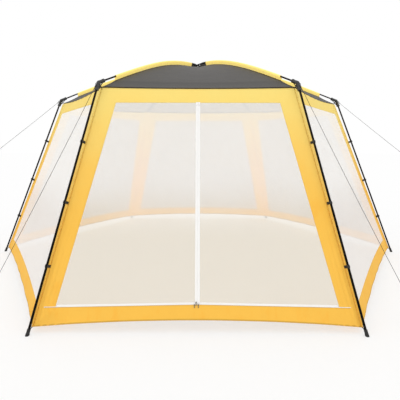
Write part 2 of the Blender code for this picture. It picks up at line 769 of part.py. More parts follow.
for name, angle in CORNERS:
    ground = Vector((*PEGS[name], 0.0))
    eye = place(angle, EYE_ROOT[0], 0, EYE_ROOT[1])
    away = Vector((ground.x - eye.x, ground.y - eye.y, 0)).normalized()
    shaft = (away * PEG_LEAN + Vector((0, 0, 1))).normalized()
    peg = [ground + shaft * (0.0045 + (PEG_RISE - 0.0045) * i / 3) for i in range(4)]
    for i in range(1, 6):
        turn = pi * i / 5
        bend = 0.008
        peg.append(peg[3] + away * bend * (1 - cos(turn)) + shaft * bend * sin(turn))
    peg.append(peg[-1] - shaft * 0.006)
    curve("peg_" + name, peg, PEG_ROD, PEG_STEEL)
    way = (ground - eye).normalized()
    side = (away - shaft * away.dot(shaft)).normalized()
    reach = PEG_ROD + ROPE * sqrt(1 - way.dot(side) ** 2) + FIT
    low = ground + shaft * ROPE_TIE - side * reach
    across = place(angle + 90, 1, 0, 0)
    rim = (way - across * way.dot(across)).normalized()
    high = eye + rim * EYE_MAJOR + way * (EYE_MINOR + FIT)
    length = (low - high).length
    rope = []
    for i in range(ROPE_POINTS):
        t = i / (ROPE_POINTS - 1)
        point = high.lerp(low, t)
        point.z -= ROPE_SLACK * length * 4 * t * (1 - t)
        rope.append(point)
    curve("guy_rope_" + name, rope, ROPE, ROPE_GREY)
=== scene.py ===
"""Looks of a six-sided screen tent: an operator for each group of pieces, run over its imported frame.

Metres, +Z up. The origin is on the ground under the middle of the roof, and the door wall faces -Y.
"""

from math import atan2, cos, exp, pi, radians, sin, sqrt

import bmesh
import bpy
from bpy.props import FloatProperty, FloatVectorProperty, PointerProperty
from mathutils import Matrix, Vector


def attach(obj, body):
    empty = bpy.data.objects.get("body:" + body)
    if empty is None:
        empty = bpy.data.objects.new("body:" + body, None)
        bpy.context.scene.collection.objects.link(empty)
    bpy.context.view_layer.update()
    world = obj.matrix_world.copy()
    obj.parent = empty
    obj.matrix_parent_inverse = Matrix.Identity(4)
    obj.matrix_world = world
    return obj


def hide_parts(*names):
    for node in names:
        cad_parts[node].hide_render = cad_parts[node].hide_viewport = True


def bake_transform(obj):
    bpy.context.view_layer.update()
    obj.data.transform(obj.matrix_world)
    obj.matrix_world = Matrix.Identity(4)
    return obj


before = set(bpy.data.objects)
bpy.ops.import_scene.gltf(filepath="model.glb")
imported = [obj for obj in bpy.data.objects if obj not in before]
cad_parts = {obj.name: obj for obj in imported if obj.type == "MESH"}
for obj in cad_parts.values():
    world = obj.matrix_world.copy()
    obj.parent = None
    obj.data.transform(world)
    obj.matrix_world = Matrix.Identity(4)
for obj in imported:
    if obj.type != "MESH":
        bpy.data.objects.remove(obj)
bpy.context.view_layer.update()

bl_info = {
    "name": "Screen Tent Looks",
    "version": (1, 0, 0),
    "blender": (4, 5, 0),
    "location": "3D View > Sidebar > Tent",
    "description": "Makes the visible pieces of a six-sided screen tent over its frame",
    "category": "Object",
}

# Pole frame, as in the solids
FOOT_RADIUS = 2.50
KNEE_RADIUS = 1.784
KNEE_HEIGHT = 1.956
BOW_RISE = 0.42
BOW_TAIL = 0.124
STACK_REACH = 0.90
LEG_TUBE = 0.0095
LEG_WALL = 0.0010
ROOF_TUBE = 0.0080
FIT = 0.0003
SEAT = 0.0004

# Elbows
ROOF_ARM = 0.072
LEG_ARM = 0.078
ELBOW_BODY = 0.0145
ELBOW_BEND = 0.035
ELBOW_SKIN = 0.0022
ROOF_COLLAR = 0.0165
LEG_COLLAR = 0.0178
COLLAR_LENGTH = 0.016
ROOF_SOCKET = 0.040
LEG_SOCKET = 0.045
WEB_REACH = 0.0125
WEB_THICKNESS = 0.005
HOOK_ROD = 0.0028
HOOK_KNOB = 0.0052
EYE_MAJOR = 0.0085
EYE_MINOR = 0.0023
EYE_DROP = 0.026

# Feet and clips
FOOT_HEIGHT = 0.046
FOOT_PAD = 0.0145
FOOT_BODY = 0.0130
CLIP_HEIGHTS = (1.430, 0.935, 0.465)
CLIP_OUTER = 0.0135
CLIP_LENGTH = 0.024
CLIP_REACH = 0.036

# Roof cloth and sleeves
EAVE_RADIUS = KNEE_RADIUS - 0.039
EAVE_HEIGHT = KNEE_HEIGHT - 0.034
ROOF_CLOTH = 0.004
ROOF_SAG = 0.040
EAVE_SAG = 0.012
SIDE_EAVE_SAG = 0.034
EAVE_LAP = 0.005
RIDGE_DROP = 0.036
APEX_GAP = 0.003
SLEEVE_START = 0.19
SLEEVE_END = EAVE_RADIUS - 0.180
HOLLOW_END = SLEEVE_END + (EAVE_RADIUS - SLEEVE_END) * 0.5

# Walls
HEM_RADIUS = FOOT_RADIUS - 0.045
HEM_HEIGHT = 0.048
HEM_ARCH = 0.046
CORNER_INSET = 0.0025
SIDE_BORDER = 0.124
SIDE_WIDENING = 0.046
TOP_BAND = 0.156
BOTTOM_BAND = 0.139
BOTTOM_ARCH = 0.034
DOOR_ARCH = 0.020
WALL_SOLID = 0.003

# Door and zips
ZIP_HALF = 0.019
ZIP_FOOT = 0.011
ZIP_TAPE = 0.0016
DOOR_SLIDER_LIFT = 0.0095
FOOT_SLIDER_LEFT = 0.022
FOOT_SLIDER_RIGHT = 0.008
SLIDER_BODY = 0.013

# Guy ropes: each peg's ground point, and where the rope is tied on its shaft
PEGS = {
    "front_left": (-1.72, -2.05),
    "front_right": (1.72, -2.05),
    "back_left": (-1.72, 2.05),
    "back_right": (1.72, 2.05),
    "left": (-3.57, -1.50),
    "right": (3.57, -1.50),
}
PEG_LEAN = 0.35
PEG_ROD = 0.003
ROPE_TIE = 0.026
ROPE_SLACK = 0.010
ROPE_POINTS = 18

# Camera, from the photograph: a level view with its horizon on this pixel row of 400
FRAME_SIDE = 400
HORIZON_ROW = 140.8
CAMERA_PLACE = (0.018, -4.995, 1.435)
CAMERA_LENS = 34.66
CAMERA_SENSOR = 36.0
CAMERA_ROLL = -0.0017

CORNERS = {"right": 0, "back_right": 60, "back_left": 120, "left": 180, "front_left": 240, "front_right": 300}
WALLS = {"front": 270, "front_right": 330, "back_right": 30, "back": 90, "back_left": 150, "front_left": 210}
SIDES = (("left", -1), ("right", 1))
LAYERS = (2, 1, 0, 2, 1, 0)
ROOT = "tent"


# Lines and surfaces that the pieces share
def place(angle, out, along, up):
    """The world point at these distances out from the middle, along to the left of that, and up."""
    turn = radians(angle)
    return Vector((out * cos(turn) - along * sin(turn), out * sin(turn) + along * cos(turn), up))


def beside(angle):
    """The unit vector to the left of the way out at this angle."""
    return place(angle + 90, 1, 0, 0)


def ease(value, low, high):
    """0 below low, 1 above high and smooth between."""
    share = min(max((value - low) / (high - low), 0.0), 1.0)
    return share * share * (3 - 2 * share)


def bezier(share, *points):
    """The place at this share of a curve from the first point, bent towards the second, to the third."""
    weights = (1 - share) ** 2, 2 * share * (1 - share), share**2
    return [sum(weight * part for weight, part in zip(weights, parts)) for parts in zip(*points)]


def spread(low, high, steps):
    """The values at equal steps from low to high, with both ends."""
    return [low + (high - low) * i / steps for i in range(steps + 1)]


LEG_LENGTH = sqrt((FOOT_RADIUS - KNEE_RADIUS) ** 2 + KNEE_HEIGHT**2)
LEG_WAY = ((FOOT_RADIUS - KNEE_RADIUS) / LEG_LENGTH, -KNEE_HEIGHT / LEG_LENGTH)
UP_LEG = (-LEG_WAY[0], -LEG_WAY[1])
BOW_SPAN = KNEE_RADIUS - BOW_TAIL
BOW_SLOPE = -BOW_RISE * pi / (2 * BOW_SPAN)
ROOF_WAY = (1 / sqrt(1 + BOW_SLOPE**2), BOW_SLOPE / sqrt(1 + BOW_SLOPE**2))
POLE_PITCH = 2 * ROOF_TUBE + 2 * FIT
KNEE = (KNEE_RADIUS, KNEE_HEIGHT)
FOOT = (FOOT_RADIUS, 0.0)
HOOK_START = (KNEE[0] - 0.016, KNEE[1] - 0.018)
HOOK_END = (EAVE_RADIUS + EAVE_LAP + SEAT + HOOK_KNOB, EAVE_HEIGHT)
EYE_ROOT = (
    KNEE[0] + LEG_WAY[0] * EYE_DROP - LEG_WAY[1] * (ELBOW_BODY + 0.006),
    KNEE[1] + LEG_WAY[1] * EYE_DROP + LEG_WAY[0] * (ELBOW_BODY + 0.006),
)


def leg_out(up):
    return FOOT_RADIUS - up * (FOOT_RADIUS - KNEE_RADIUS) / KNEE_HEIGHT


def seam_out(up):
    """Distance out of the cloth's corner seam at this height."""
    share = (up - HEM_HEIGHT) / (EAVE_HEIGHT - HEM_HEIGHT)
    return HEM_RADIUS + (EAVE_RADIUS - HEM_RADIUS) * share


def bow(out):
    reach = abs(out)
    top = KNEE_HEIGHT - BOW_SLOPE * BOW_TAIL + BOW_RISE
    if reach < BOW_SPAN:
        return top - BOW_RISE * (1 - cos(pi * reach / (2 * BOW_SPAN)))
    return top - BOW_RISE + BOW_SLOPE * (reach - BOW_SPAN)


def pole_height(out, layer):
    """Height of a roof pole's centre line, with the three stacked where they cross."""
    reach = min(abs(out) / STACK_REACH, 1.0)
    return bow(out) - layer * POLE_PITCH * (1 - reach**2) ** 2


def pole_stations(outs, layer, radius_at):
    """Stations along a roof pole's centre line, each with its ring's radius."""
    stations = []
    for out in outs:
        rise = pole_height(out + 0.001, layer) - pole_height(out - 0.001, layer)
        stations.append((out, pole_height(out, layer), 0.002, rise, radius_at(out)))
    return stations


def ridge_height(out, layer):
    """Top of the roof cloth along a rib."""
    beyond = max(out - SLEEVE_END, 0) / (EAVE_RADIUS - SLEEVE_END)
    drop = RIDGE_DROP + (bow(EAVE_RADIUS) - EAVE_HEIGHT - RIDGE_DROP) * (1 - (1 - beyond) ** 3)
    peak = pole_height(0, 2) - ROOF_TUBE - APEX_GAP
    lift = max(1 - out / SLEEVE_START, 0) ** 2
    return pole_height(out, layer) - drop + (peak - (pole_height(0, layer) - RIDGE_DROP)) * lift


def eave_sag(angle):
    """Dip of the eave at the middle of the wall at this angle. It is tighter over the front and the back."""
    return EAVE_SAG if angle % 180 == 90 else SIDE_EAVE_SAG


def roof_point(out, gore, share):
    """A point on the top of the roof cloth: this far out on a gore, at this share of its width."""
    turn = 60 * gore
    a = place(turn, out, 0, ridge_height(out, LAYERS[gore]))
    b = place(turn + 60, out, 0, ridge_height(out, LAYERS[(gore + 1) % 6]))
    point = a.lerp(b, share)
    dip = ROOF_SAG * sin(pi * out / EAVE_RADIUS) + eave_sag(turn + 30) * (out / EAVE_RADIUS) ** 4
    point.z -= dip * 4 * share * (1 - share)
    return point


HALF_TURN = cos(pi / 6)
EAVE_OUT = EAVE_RADIUS * HALF_TURN
HEM_OUT = HEM_RADIUS * HALF_TURN
SLOPE = sqrt((HEM_OUT - EAVE_OUT) ** 2 + (EAVE_HEIGHT - HEM_HEIGHT) ** 2)
SLOPE_UP = ((EAVE_OUT - HEM_OUT) / SLOPE, (EAVE_HEIGHT - HEM_HEIGHT) / SLOPE)
WINDOW_TOP = SLOPE - TOP_BAND


def wall_point(angle, across, upslope, proud=0.0):
    out = HEM_OUT + SLOPE_UP[0] * upslope + SLOPE_UP[1] * proud
    up = HEM_HEIGHT + SLOPE_UP[1] * upslope - SLOPE_UP[0] * proud
    return place(angle, out, across, up)


def door_point(across, upslope, proud=0.0):
    return wall_point(WALLS["front"], across, upslope, proud)


def wall_face(angle):
    """The way a wall faces: out and a little up."""
    return place(angle, SLOPE_UP[1], 0, -SLOPE_UP[0])


def wall_half(upslope):
    return (HEM_RADIUS + (EAVE_RADIUS - HEM_RADIUS) * upslope / SLOPE) / 2 - CORNER_INSET


def hem_line(across):
    return HEM_ARCH * (1 - (across / wall_half(0)) ** 2)


def eave_line(across, sag):
    """Upper edge of the wall, just under the roof cloth and dipping with it."""
    dip = sag * (1 - (across / wall_half(SLOPE)) ** 2)
    fall = (ridge_height(HOLLOW_END, 0) - EAVE_HEIGHT) / (EAVE_RADIUS - HOLLOW_END)
    return SLOPE - (ROOF_CLOTH + SEAT + EAVE_LAP * fall + dip + WALL_SOLID / 4) / SLOPE_UP[1]


def window_half(upslope):
    return wall_half(upslope) - SIDE_BORDER - SIDE_WIDENING * upslope / SLOPE


def window_foot(across, straight):
    share = abs(across) / window_half(BOTTOM_BAND)
    return BOTTOM_BAND + (DOOR_ARCH * (1 - share) if straight else BOTTOM_ARCH * (1 - share**2))


FOOT_HALF = window_half(BOTTOM_BAND)
TOP_HALF = window_half(WINDOW_TOP)
WALL_TOP = eave_line(wall_half(SLOPE), EAVE_SAG)
FOLD_RATE = FOOT_HALF / (WINDOW_TOP - BOTTOM_BAND)
FOLD_HEIGHT = 0.0028
FOLD_PITCH = 0.037
WAVE_HEIGHT = 0.0022
HEM_WAVE = 0.41
EAVE_WAVE = 0.17


def wall_lift(wall, across, upslope):
    """How far the border cloth stands off its plane: folds by each leg, and soft waves along the bands."""
    edge = wall_half(upslope) - abs(across)
    seed = WALLS[wall] * 0.7 + (2.1 if across > 0 else 0.0)
    inside = ease(edge, 0.0, 0.02) * (1 - ease(edge, 0.095, 0.120) * ease(upslope, 0.09, 0.12))
    folds = sin(2 * pi * edge / FOLD_PITCH + 0.9 * sin(5.0 * upslope + seed) + seed)
    lift = FOLD_HEIGHT * folds * inside * (1 - ease(upslope, 0.25, 1.0)) * (1 - ease(edge, 0.10, 0.30))
    below = 1 - ease(upslope, 0.06, BOTTOM_BAND - 0.012)
    lift += WAVE_HEIGHT * sin(2 * pi * across / HEM_WAVE + seed) * below * ease(edge, 0.02, 0.2)
    above = ease(upslope, WINDOW_TOP + 0.015, WINDOW_TOP + 0.06)
    above *= 1 - ease(upslope, WALL_TOP - 0.05, WALL_TOP)
    return lift + WAVE_HEIGHT * sin(2 * pi * across / EAVE_WAVE + seed) * above * ease(edge, 0.01, 0.1)


# Sizes and colours that a user would change
def size(name, description, default):
    return FloatProperty(name=name, description=description, default=default, min=0.0, unit="LENGTH")


def colour(name, description, default):
    return FloatVectorProperty(
        name=name, description=description, default=default, size=3, min=0.0, max=1.0, subtype="COLOR"
    )


class TentSizes(bpy.types.PropertyGroup):
    """Sizes of the fine surface: cloths, seams, threads and rope."""

    cloth: size("Cloth", "Thickness of the wall and sleeve cloth", 0.0009)
    roof_cloth: size("Roof cloth", "Thickness of the roof cloth", 0.0011)
    weave: size("Weave", "Pitch of the threads in the woven cloth", 0.0012)
    net_pitch: size("Net pitch", "Pitch of the holes in the net", 0.0022)
    stitch: size("Stitch", "Length of one stitch", 0.0042)
    hem: size("Hem", "Width of the folded hem along each cloth edge", 0.013)
    rope: size("Rope", "Diameter of the guy ropes", 0.0035)
    tooth: size("Zip tooth", "Spacing of the teeth along one side of a zip", 0.0050)


class TentColours(bpy.types.PropertyGroup):
    """Colours of the tent's materials and its stage."""

    # yellow_high and yellow_low are one cloth: the lighter high colour and the more orange low one are
    # painted light and shade
    yellow_high: colour("Yellow, high", "Wall and sleeve cloth near the roof", (0.930, 0.725, 0.205))
    yellow_low: colour("Yellow, low", "Wall cloth near the ground", (0.930, 0.525, 0.075))
    roof: colour("Roof", "Roof cloth", (0.071, 0.067, 0.063))
    roof_lining: colour("Roof, inside", "Coated inner side of the roof cloth", (0.74, 0.74, 0.70))
    net_high: colour("Net, high", "Net near the roof", (0.975, 0.965, 0.945))
    # net_low and net_side are painted shade and warm light on the nets low down, not a dye
    net_low: colour("Net, low", "Net near the ground, in the walls' warm light", (0.785, 0.715, 0.590))
    net_side: colour("Wall net, low", "Net of the plain walls near the ground", (0.870, 0.835, 0.800))
    plastic: colour("Plastic", "Moulded elbows", (0.026, 0.027, 0.028))
    clip: colour("Clip", "Clips, webbing and cloth wraps in black", (0.010, 0.010, 0.010))
    steel: colour("Pole", "Painted steel poles", (0.004, 0.0035, 0.003))
    rubber: colour("Rubber", "Feet", (0.014, 0.014, 0.014))
    # Dark brown of the eave piping, also painted as shade in a line beside each sleeve on the roof
    piping: colour("Piping", "Dark binding round the roof cloth's edge", (0.022, 0.014, 0.008))
    zip_tape: colour("Zip tape", "Zip tapes and teeth", (0.91, 0.90, 0.88))
    zip_metal: colour("Zip slider", "Zip sliders and pulls", (0.150, 0.125, 0.090))
    rope: colour("Rope", "Guy ropes", (0.020, 0.020, 0.022))
    peg: colour("Peg", "Zinc plated pegs", (0.56, 0.56, 0.57))
    floor: colour("Floor", "Floor of the stage", (0.97, 0.97, 0.97))


# Materials: sockets as numbers, and one builder for each finish
class Number:
    """A socket that carries a number. Arithmetic on it adds Math nodes to its material."""

    def __init__(self, paint, socket):
        self.paint = paint
        self.socket = socket

    def __add__(self, other):
        return self.paint.math("ADD", self, other)

    def __sub__(self, other):
        return self.paint.math("SUBTRACT", self, other)

    def __rsub__(self, other):
        return self.paint.math("SUBTRACT", other, self)

    def __mul__(self, other):
        return self.paint.math("MULTIPLY", self, other)

    __radd__ = __add__
    __rmul__ = __mul__


class Paint:
    """A material and the tools that build its nodes."""

    def __init__(self, name):
        self.material = bpy.data.materials.new(name)
        self.material.use_nodes = True
        tree = self.material.node_tree
        self.nodes, self.links = tree.nodes, tree.links
        self.nodes.clear()
        self.sizes = bpy.context.scene.tent_sizes
        self.here = self.node("TexCoord").outputs["Object"]

    @property
    def height(self):
        return self.parts(self.here)[2]

    def colour(self, name):
        return tuple(getattr(bpy.context.scene.tent_colours, name))

    def node(self, kind, settings=(), values=()):
        """A new node: its settings first, a ramp's stops among them, then its sockets' values or links."""
        made = self.nodes.new("ShaderNode" + kind)
        for key, value in dict(settings).items():
            if key == "stops":
                for element, (at, tone) in zip(made.color_ramp.elements, value):
                    element.position = at
                    element.color = (*tone, 1.0)
            else:
                setattr(made, key, value)
        for key, value in dict(values).items():
            socket = made.inputs[key]
            if isinstance(value, Number):
                value = value.socket
            if isinstance(value, bpy.types.NodeSocket):
                self.links.new(value, socket)
            elif socket.type == "RGBA" and len(value) == 3:
                socket.default_value = (*value, 1.0)
            else:
                socket.default_value = value
        return made

    def math(self, operation, *terms):
        made = self.node("Math", {"operation": operation}, dict(enumerate(terms)))
        return Number(self, made.outputs[0])

    def shift(self, vector, scale):
        """The vector with each part scaled."""
        return self.node("VectorMath", {"operation": "MULTIPLY"}, {0: vector, 1: scale}).outputs[0]

    def drawn_out(self, share):
        """The point on the piece with its height times this share, so that marks run upright."""
        return self.shift(self.here, (1.0, 1.0, share))

    def parts(self, vector):
        made = self.node("SeparateXYZ", (), {0: vector})
        return [Number(self, socket) for socket in made.outputs]

    def noise(self, scale, detail=3.0, roughness=0.5, at=None):
        values = {"Vector": at or self.here, "Scale": scale, "Detail": detail, "Roughness": roughness}
        return Number(self, self.node("TexNoise", (), values).outputs[0])

    def between(self, value, low, high):
        """0 below low, 1 above high, smooth between."""
        values = {"Value": value, "From Min": low, "From Max": high}
        return Number(self, self.node("MapRange", {"interpolation_type": "SMOOTHSTEP"}, values).outputs[0])

    def wave(self, value, pitch, phase=0.0):
        """A smooth wave from 0 to 1 with this pitch."""
        return self.math("SINE", value * (2 * pi / pitch) + phase) * 0.5 + 0.5

    def line(self, value, centre, half):
        """1 on a line at centre, fading to 0 at this half width."""
        return 1 - self.between(self.math("ABSOLUTE", value - centre), half * 0.4, half)

    def mix(self, share, first, second):
        return self.node("Mix", {"data_type": "RGBA"}, {0: share, 6: first, 7: second}).outputs[2]

    def tone(self, base, share):
        """The colour times a number, for shade and fading."""
        return self.node("VectorMath", {"operation": "SCALE"}, {0: base, "Scale": share}).outputs[0]

    def attribute(self, name):
        """The parts of one of the piece's own attributes."""
        return self.parts(self.node("Attribute", {"attribute_name": name}).outputs["Vector"])

    def bump(self, height, distance, strength=1.0, normal=None):
        values = {"Height": height, "Distance": distance, "Strength": strength}
        if normal is not None:
            values["Normal"] = normal
        return self.node("Bump", (), values).outputs[0]

    def finish(self, **values):
        """Ends the material in a Principled shader with these sockets."""
        names = {key.replace("_", " ").title().replace("Ior", "IOR"): value for key, value in values.items()}
        shader = self.node("BsdfPrincipled", (), names)
        self.node("OutputMaterial", (), {"Surface": shader.outputs[0]})
        return self.material


# Where stitch lines run, each from one edge of the cloth
WALL_STITCHES = (("inner", 0.005), ("inner", 0.016), ("outer", 0.009), ("outer", 0.012))
SLEEVE_STITCHES = (("inner", 0.004), ("inner", 0.0075), ("outer", 0.008))
ROOF_STITCHES = (("inner", 0.016), ("inner", 0.021), ("outer", 0.010))
STITCH_HALF = 0.0013

# Light that comes through the yellow cloth, and what is left of it at the foot
SLEEVE_GLOW = 0.43
SLEEVE_FOOT_SHARE = 0.4
LINING_GLOW = 0.34
LINING_FOOT_SHARE = 1.2


def weave(paint):
    """Height of a plain weave on the cloth's own flat place in metres."""
    across, along, _ = paint.attribute("cloth")
    turn = 2 * pi / paint.sizes.weave
    return paint.math("SINE", across * turn) * paint.math("SINE", along * turn) * 0.5 + 0.5


def stitches(paint, lines):
    """Dashes along seam lines. lines pairs an edge of the cloth with each line's distance from it."""
    along, inner, outer = paint.attribute("seam")
    dash = paint.between(paint.wave(along, paint.sizes.stitch), 0.18, 0.45)
    edges = {"inner": inner, "outer": outer}
    return sum(paint.line(edges[edge], distance, STITCH_HALF) for edge, distance in lines) * dash


def yellow_cloth(paint, lines, glow=0.0, foot_share=0.0):
    """Yellow polyester. glow is the share of its own colour that light through it adds, and foot_share
    how much of that is left at the foot."""
    height, hem = paint.height, paint.sizes.hem
    patch = paint.noise(3.1, 4.0, 0.55)
    # painted light: the cloth is lighter and yellower high up and more orange low down, as the light falls on
    # it
    painted_top_light = paint.between(height + patch * 0.5, 0.95, 2.40)
    base = paint.mix(painted_top_light, paint.colour("yellow_low"), paint.colour("yellow_high"))
    sewn = stitches(paint, lines)
    folded = 1 - paint.between(paint.attribute("seam")[2], hem - 0.001, hem + 0.001)
    crease = paint.noise(9.0, 5.0, 0.62, paint.drawn_out(0.35))
    # painted shade: the cloth is darker and more orange in its creases, low on the wall
    crease_shade = paint.between(crease, 0.50, 0.72) * (1 - paint.between(height, 0.3, 1.9)) * 0.8
    base = paint.mix(crease_shade, base, paint.shift(base, (1.0, 0.90, 0.72)))
    base = paint.tone(base, 1.015 - patch * 0.05 - folded * 0.02 - sewn * 0.05)
    slub = paint.noise(900.0, 2.0, 0.6)
    fine = weave(paint) + slub * 0.5 + sewn * 0.8 + folded * 0.4
    sockets = {
        "base_color": base,
        "roughness": 0.72 + slub * 0.14,
        "normal": paint.bump(fine, 0.00025, 0.7, paint.bump(crease, 0.016, 0.35)),
        "specular_ior_level": 0.25,
    }
    if glow:
        share = paint.between(height, 0.12, 0.95) * (1 - foot_share) + foot_share
        sockets.update(emission_color=paint.tone(base, share), emission_strength=glow)
    return paint.finish(**sockets)


def hem_cloth(paint, shade):
    """Bound edges and seams: the wall cloth's colour times this shade."""
    height = paint.height
    patch = paint.noise(14.0, 3.0, 0.55)
    rib = paint.wave(height + paint.parts(paint.here)[0] * 0.5, paint.sizes.weave * 1.5)
    # painted light: lighter high up and more orange low down, as on the wall cloth
    base = paint.mix(paint.between(height, 0.1, 2.2), paint.colour("yellow_low"), paint.colour("yellow_high"))
    base = paint.tone(base, shade - patch * 0.05 + rib * 0.03)
    normal = paint.bump(rib + patch, 0.0004, 0.6)
    return paint.finish(
        base_color=base, roughness=0.74 + patch * 0.08, normal=normal, specular_ior_level=0.25
    )


def piping_cloth(paint, tape):
    """The binding on the roof cloth's edge: a tight rib across a folded tape of this colour."""
    along, around, height = paint.parts(paint.here)
    rib = paint.wave(along + around * 0.7 + height, paint.sizes.weave * 1.5)
    wear = paint.noise(30.0, 4.0, 0.6)
    base = paint.tone(paint.colour(tape), 0.75 + wear * 0.4 + rib * 0.12)
    normal = paint.bump(rib + wear, 0.0003, 0.6)
    return paint.finish(base_color=base, roughness=0.68 + wear * 0.12, normal=normal, specular_ior_level=0.3)


def roof_cloth(paint, dye):
    """Coated polyester of this colour, with painted light and shade: lighter high up and to the +X side,
    darker at the folded eave, and dark brown by the ribs, partly piping and partly shade.
    """
    side, _, height = paint.parts(paint.here)
    patch = paint.noise(2.3, 4.0, 0.55)
    sewn = stitches(paint, ROOF_STITCHES)
    _, inner, outer = paint.attribute("seam")
    # the folded edge at the eave; the darkening it gives below is painted shade, while its bump is the real
    # fold
    folded = 1 - paint.between(outer, 0.016, 0.019)
    # painted light: lighter high up and towards +X, where more light falls
    lighter = 0.94 + side * 0.045 + paint.between(height, 1.9, 2.4) * 0.08
    base = paint.tone(paint.colour(dye), lighter + patch * 0.14 - folded * 0.16 + sewn * 0.35)
    # piping and painted shade: a dark brown line on the roof beside each sleeve, where the sleeve meets the
    # roof
    base = paint.mix(1 - paint.between(inner, 0.013, 0.022), base, paint.colour("piping"))
    slub = paint.noise(800.0, 2.0, 0.6)
    fine = weave(paint) + slub * 0.6 + sewn * 2.0 + folded
    normal = paint.bump(fine, 0.00025, 0.7, paint.bump(paint.noise(7.0, 5.0, 0.6), 0.02, 0.35))
    return paint.finish(base_color=base, roughness=0.62 + slub * 0.16, normal=normal)


def net_cloth(paint, cover, shade):
    """Insect net. cover is how much of it the threads close between the knots."""
    pitch = paint.sizes.net_pitch
    across, along, _ = paint.attribute("cloth")
    thread = paint.math("MAXIMUM", paint.wave(across, pitch), paint.wave(along, pitch))
    knot = paint.between(thread, 0.55, 0.92)
    patch = paint.noise(2.0, 3.0, 0.5)
    # painted shade and warm light: the net is darker and more beige low down, for the shaded floor lit
    # through the yellow walls behind it
    low = 1 - paint.between(paint.height + patch * 0.12, 0.70, 1.20)
    base = paint.tone(paint.mix(low, paint.colour("net_high"), paint.colour(shade)), 0.985 + patch * 0.03)
    return paint.finish(
        base_color=base, roughness=0.8 + patch * 0.05, alpha=cover + knot * 0.20 + patch * 0.03,
        normal=paint.bump(thread, 0.0003, 0.5), specular_ior_level=0.2,
    )


def moulded_plastic(paint, base, roughness=0.42):
    """Moulded plastic or rubber, with pale scuffs."""
    blotch = paint.noise(38.0, 4.0, 0.6)
    scuff = paint.between(paint.noise(160.0, 4.0, 0.65, paint.drawn_out(0.15)), 0.60, 0.74)
    grain = paint.noise(2400.0, 2.0, 0.55)
    tint = paint.mix(scuff * 0.35, paint.tone(paint.colour(base), 0.8 + blotch * 0.4), (0.12, 0.12, 0.12))
    normal = paint.bump(grain + scuff * 0.3, 0.00016, 0.6)
    return paint.finish(base_color=tint, roughness=roughness + blotch * 0.12 + scuff * 0.12, normal=normal)


def painted_steel(paint):
    """Black paint with orange peel and scratches, and painted a little lighter high up, as light falls there.
    """
    peel = paint.noise(420.0, 2.0, 0.5)
    scratch = paint.between(paint.noise(70.0, 5.0, 0.7, paint.drawn_out(0.08)), 0.63, 0.72)
    # painted light: the paint turns a little lighter high up
    high = paint.between(paint.height, 0.6, 1.9)
    base = paint.mix(high * 0.5, paint.colour("steel"), (0.020, 0.015, 0.011))
    base = paint.mix(scratch * 0.3, base, (0.06, 0.055, 0.05))
    return paint.finish(
        base_color=base, roughness=0.42 + peel * 0.10 + scratch * 0.15,
        normal=paint.bump(peel - scratch * 0.5, 0.00012, 0.5), specular_ior_level=0.05,
    )


def zinc(paint):
    spangle = paint.noise(240.0, 4.0, 0.6)
    base = paint.tone(paint.colour("peg"), 0.8 + spangle * 0.35)
    normal = paint.bump(spangle, 0.0001, 0.4)
    return paint.finish(base_color=base, metallic=1.0, roughness=0.26 + spangle * 0.2, normal=normal)


def zip_tape(paint):
    across, along, _ = paint.attribute("cloth")
    twill = paint.wave(along + across, 0.0011)
    soil = paint.noise(26.0, 4.0, 0.6)
    base = paint.tone(paint.colour("zip_tape"), 0.98 + soil * 0.04 - twill * 0.02)
    return paint.finish(base_color=base, roughness=0.62 + soil * 0.1, normal=paint.bump(twill, 0.0002, 0.6))


def twisted_rope(paint):
    x, y, height = paint.parts(paint.here)
    strand = paint.wave(height + x * 0.5 + y * 0.5, 0.0042)
    fuzz = paint.noise(1500.0, 2.0, 0.6)
    base = paint.tone(paint.colour("rope"), 0.65 + strand * 0.5 + fuzz * 0.3)
    normal = paint.bump(strand + fuzz * 0.4, 0.0006, 0.7)
    return paint.finish(base_color=base, roughness=0.80 + fuzz * 0.12, normal=normal)


# Each finish: the record's slot it stands for, its maker, and what the maker is given
FINISHES = {
    "border_cloth": ("yellow_cloth", yellow_cloth, WALL_STITCHES),
    "border_lining": ("yellow_cloth", yellow_cloth, WALL_STITCHES, LINING_GLOW, LINING_FOOT_SHARE),
    "sleeve_cloth": ("yellow_cloth", yellow_cloth, SLEEVE_STITCHES, SLEEVE_GLOW, SLEEVE_FOOT_SHARE),
    "hem_cloth": ("yellow_cloth", hem_cloth, 0.97),
    # a darker hem binding; the same finish paints the shadow strip under the door's zip
    "binding_cloth": ("yellow_cloth", hem_cloth, 0.70),
    "roof_cloth": ("grey_cloth", roof_cloth, "roof"),
    "roof_lining": ("grey_cloth", roof_cloth, "roof_lining"),
    "piping": ("grey_cloth", piping_cloth, "piping"),
    "gusset_cloth": ("grey_cloth", piping_cloth, "roof"),
    "door_net": ("white_net", net_cloth, 0.50, "net_low"),
    "wall_net": ("white_net", net_cloth, 0.68, "net_side"),
    "elbow_plastic": ("black_plastic", moulded_plastic, "plastic"),
    "clip_plastic": ("black_plastic", moulded_plastic, "clip", 0.55),
    "foot_rubber": ("black_rubber", moulded_plastic, "rubber", 0.72),
    "slider_metal": ("zip_metal", moulded_plastic, "zip_metal", 0.32),
    "painted_steel": ("black_steel", painted_steel),
    "zinc": ("peg_steel", zinc),
    "zip_tape": ("zip_tape", zip_tape),
    "rope": ("rope", twisted_rope),
}
PAINTS = {}


def paint_of(name):
    """The material of this name, made when first asked for."""
    if name not in PAINTS:
        _, maker, *given = FINISHES[name]
        PAINTS[name] = maker(Paint(name), *given)
    return PAINTS[name]


# Modelling helpers
def of_type(items, kind):
    return [item for item in items if isinstance(item, kind)]


def edges_of(verts):
    """The edges at these vertices, each once."""
    return list(dict.fromkeys(edge for vert in verts for edge in vert.link_edges))


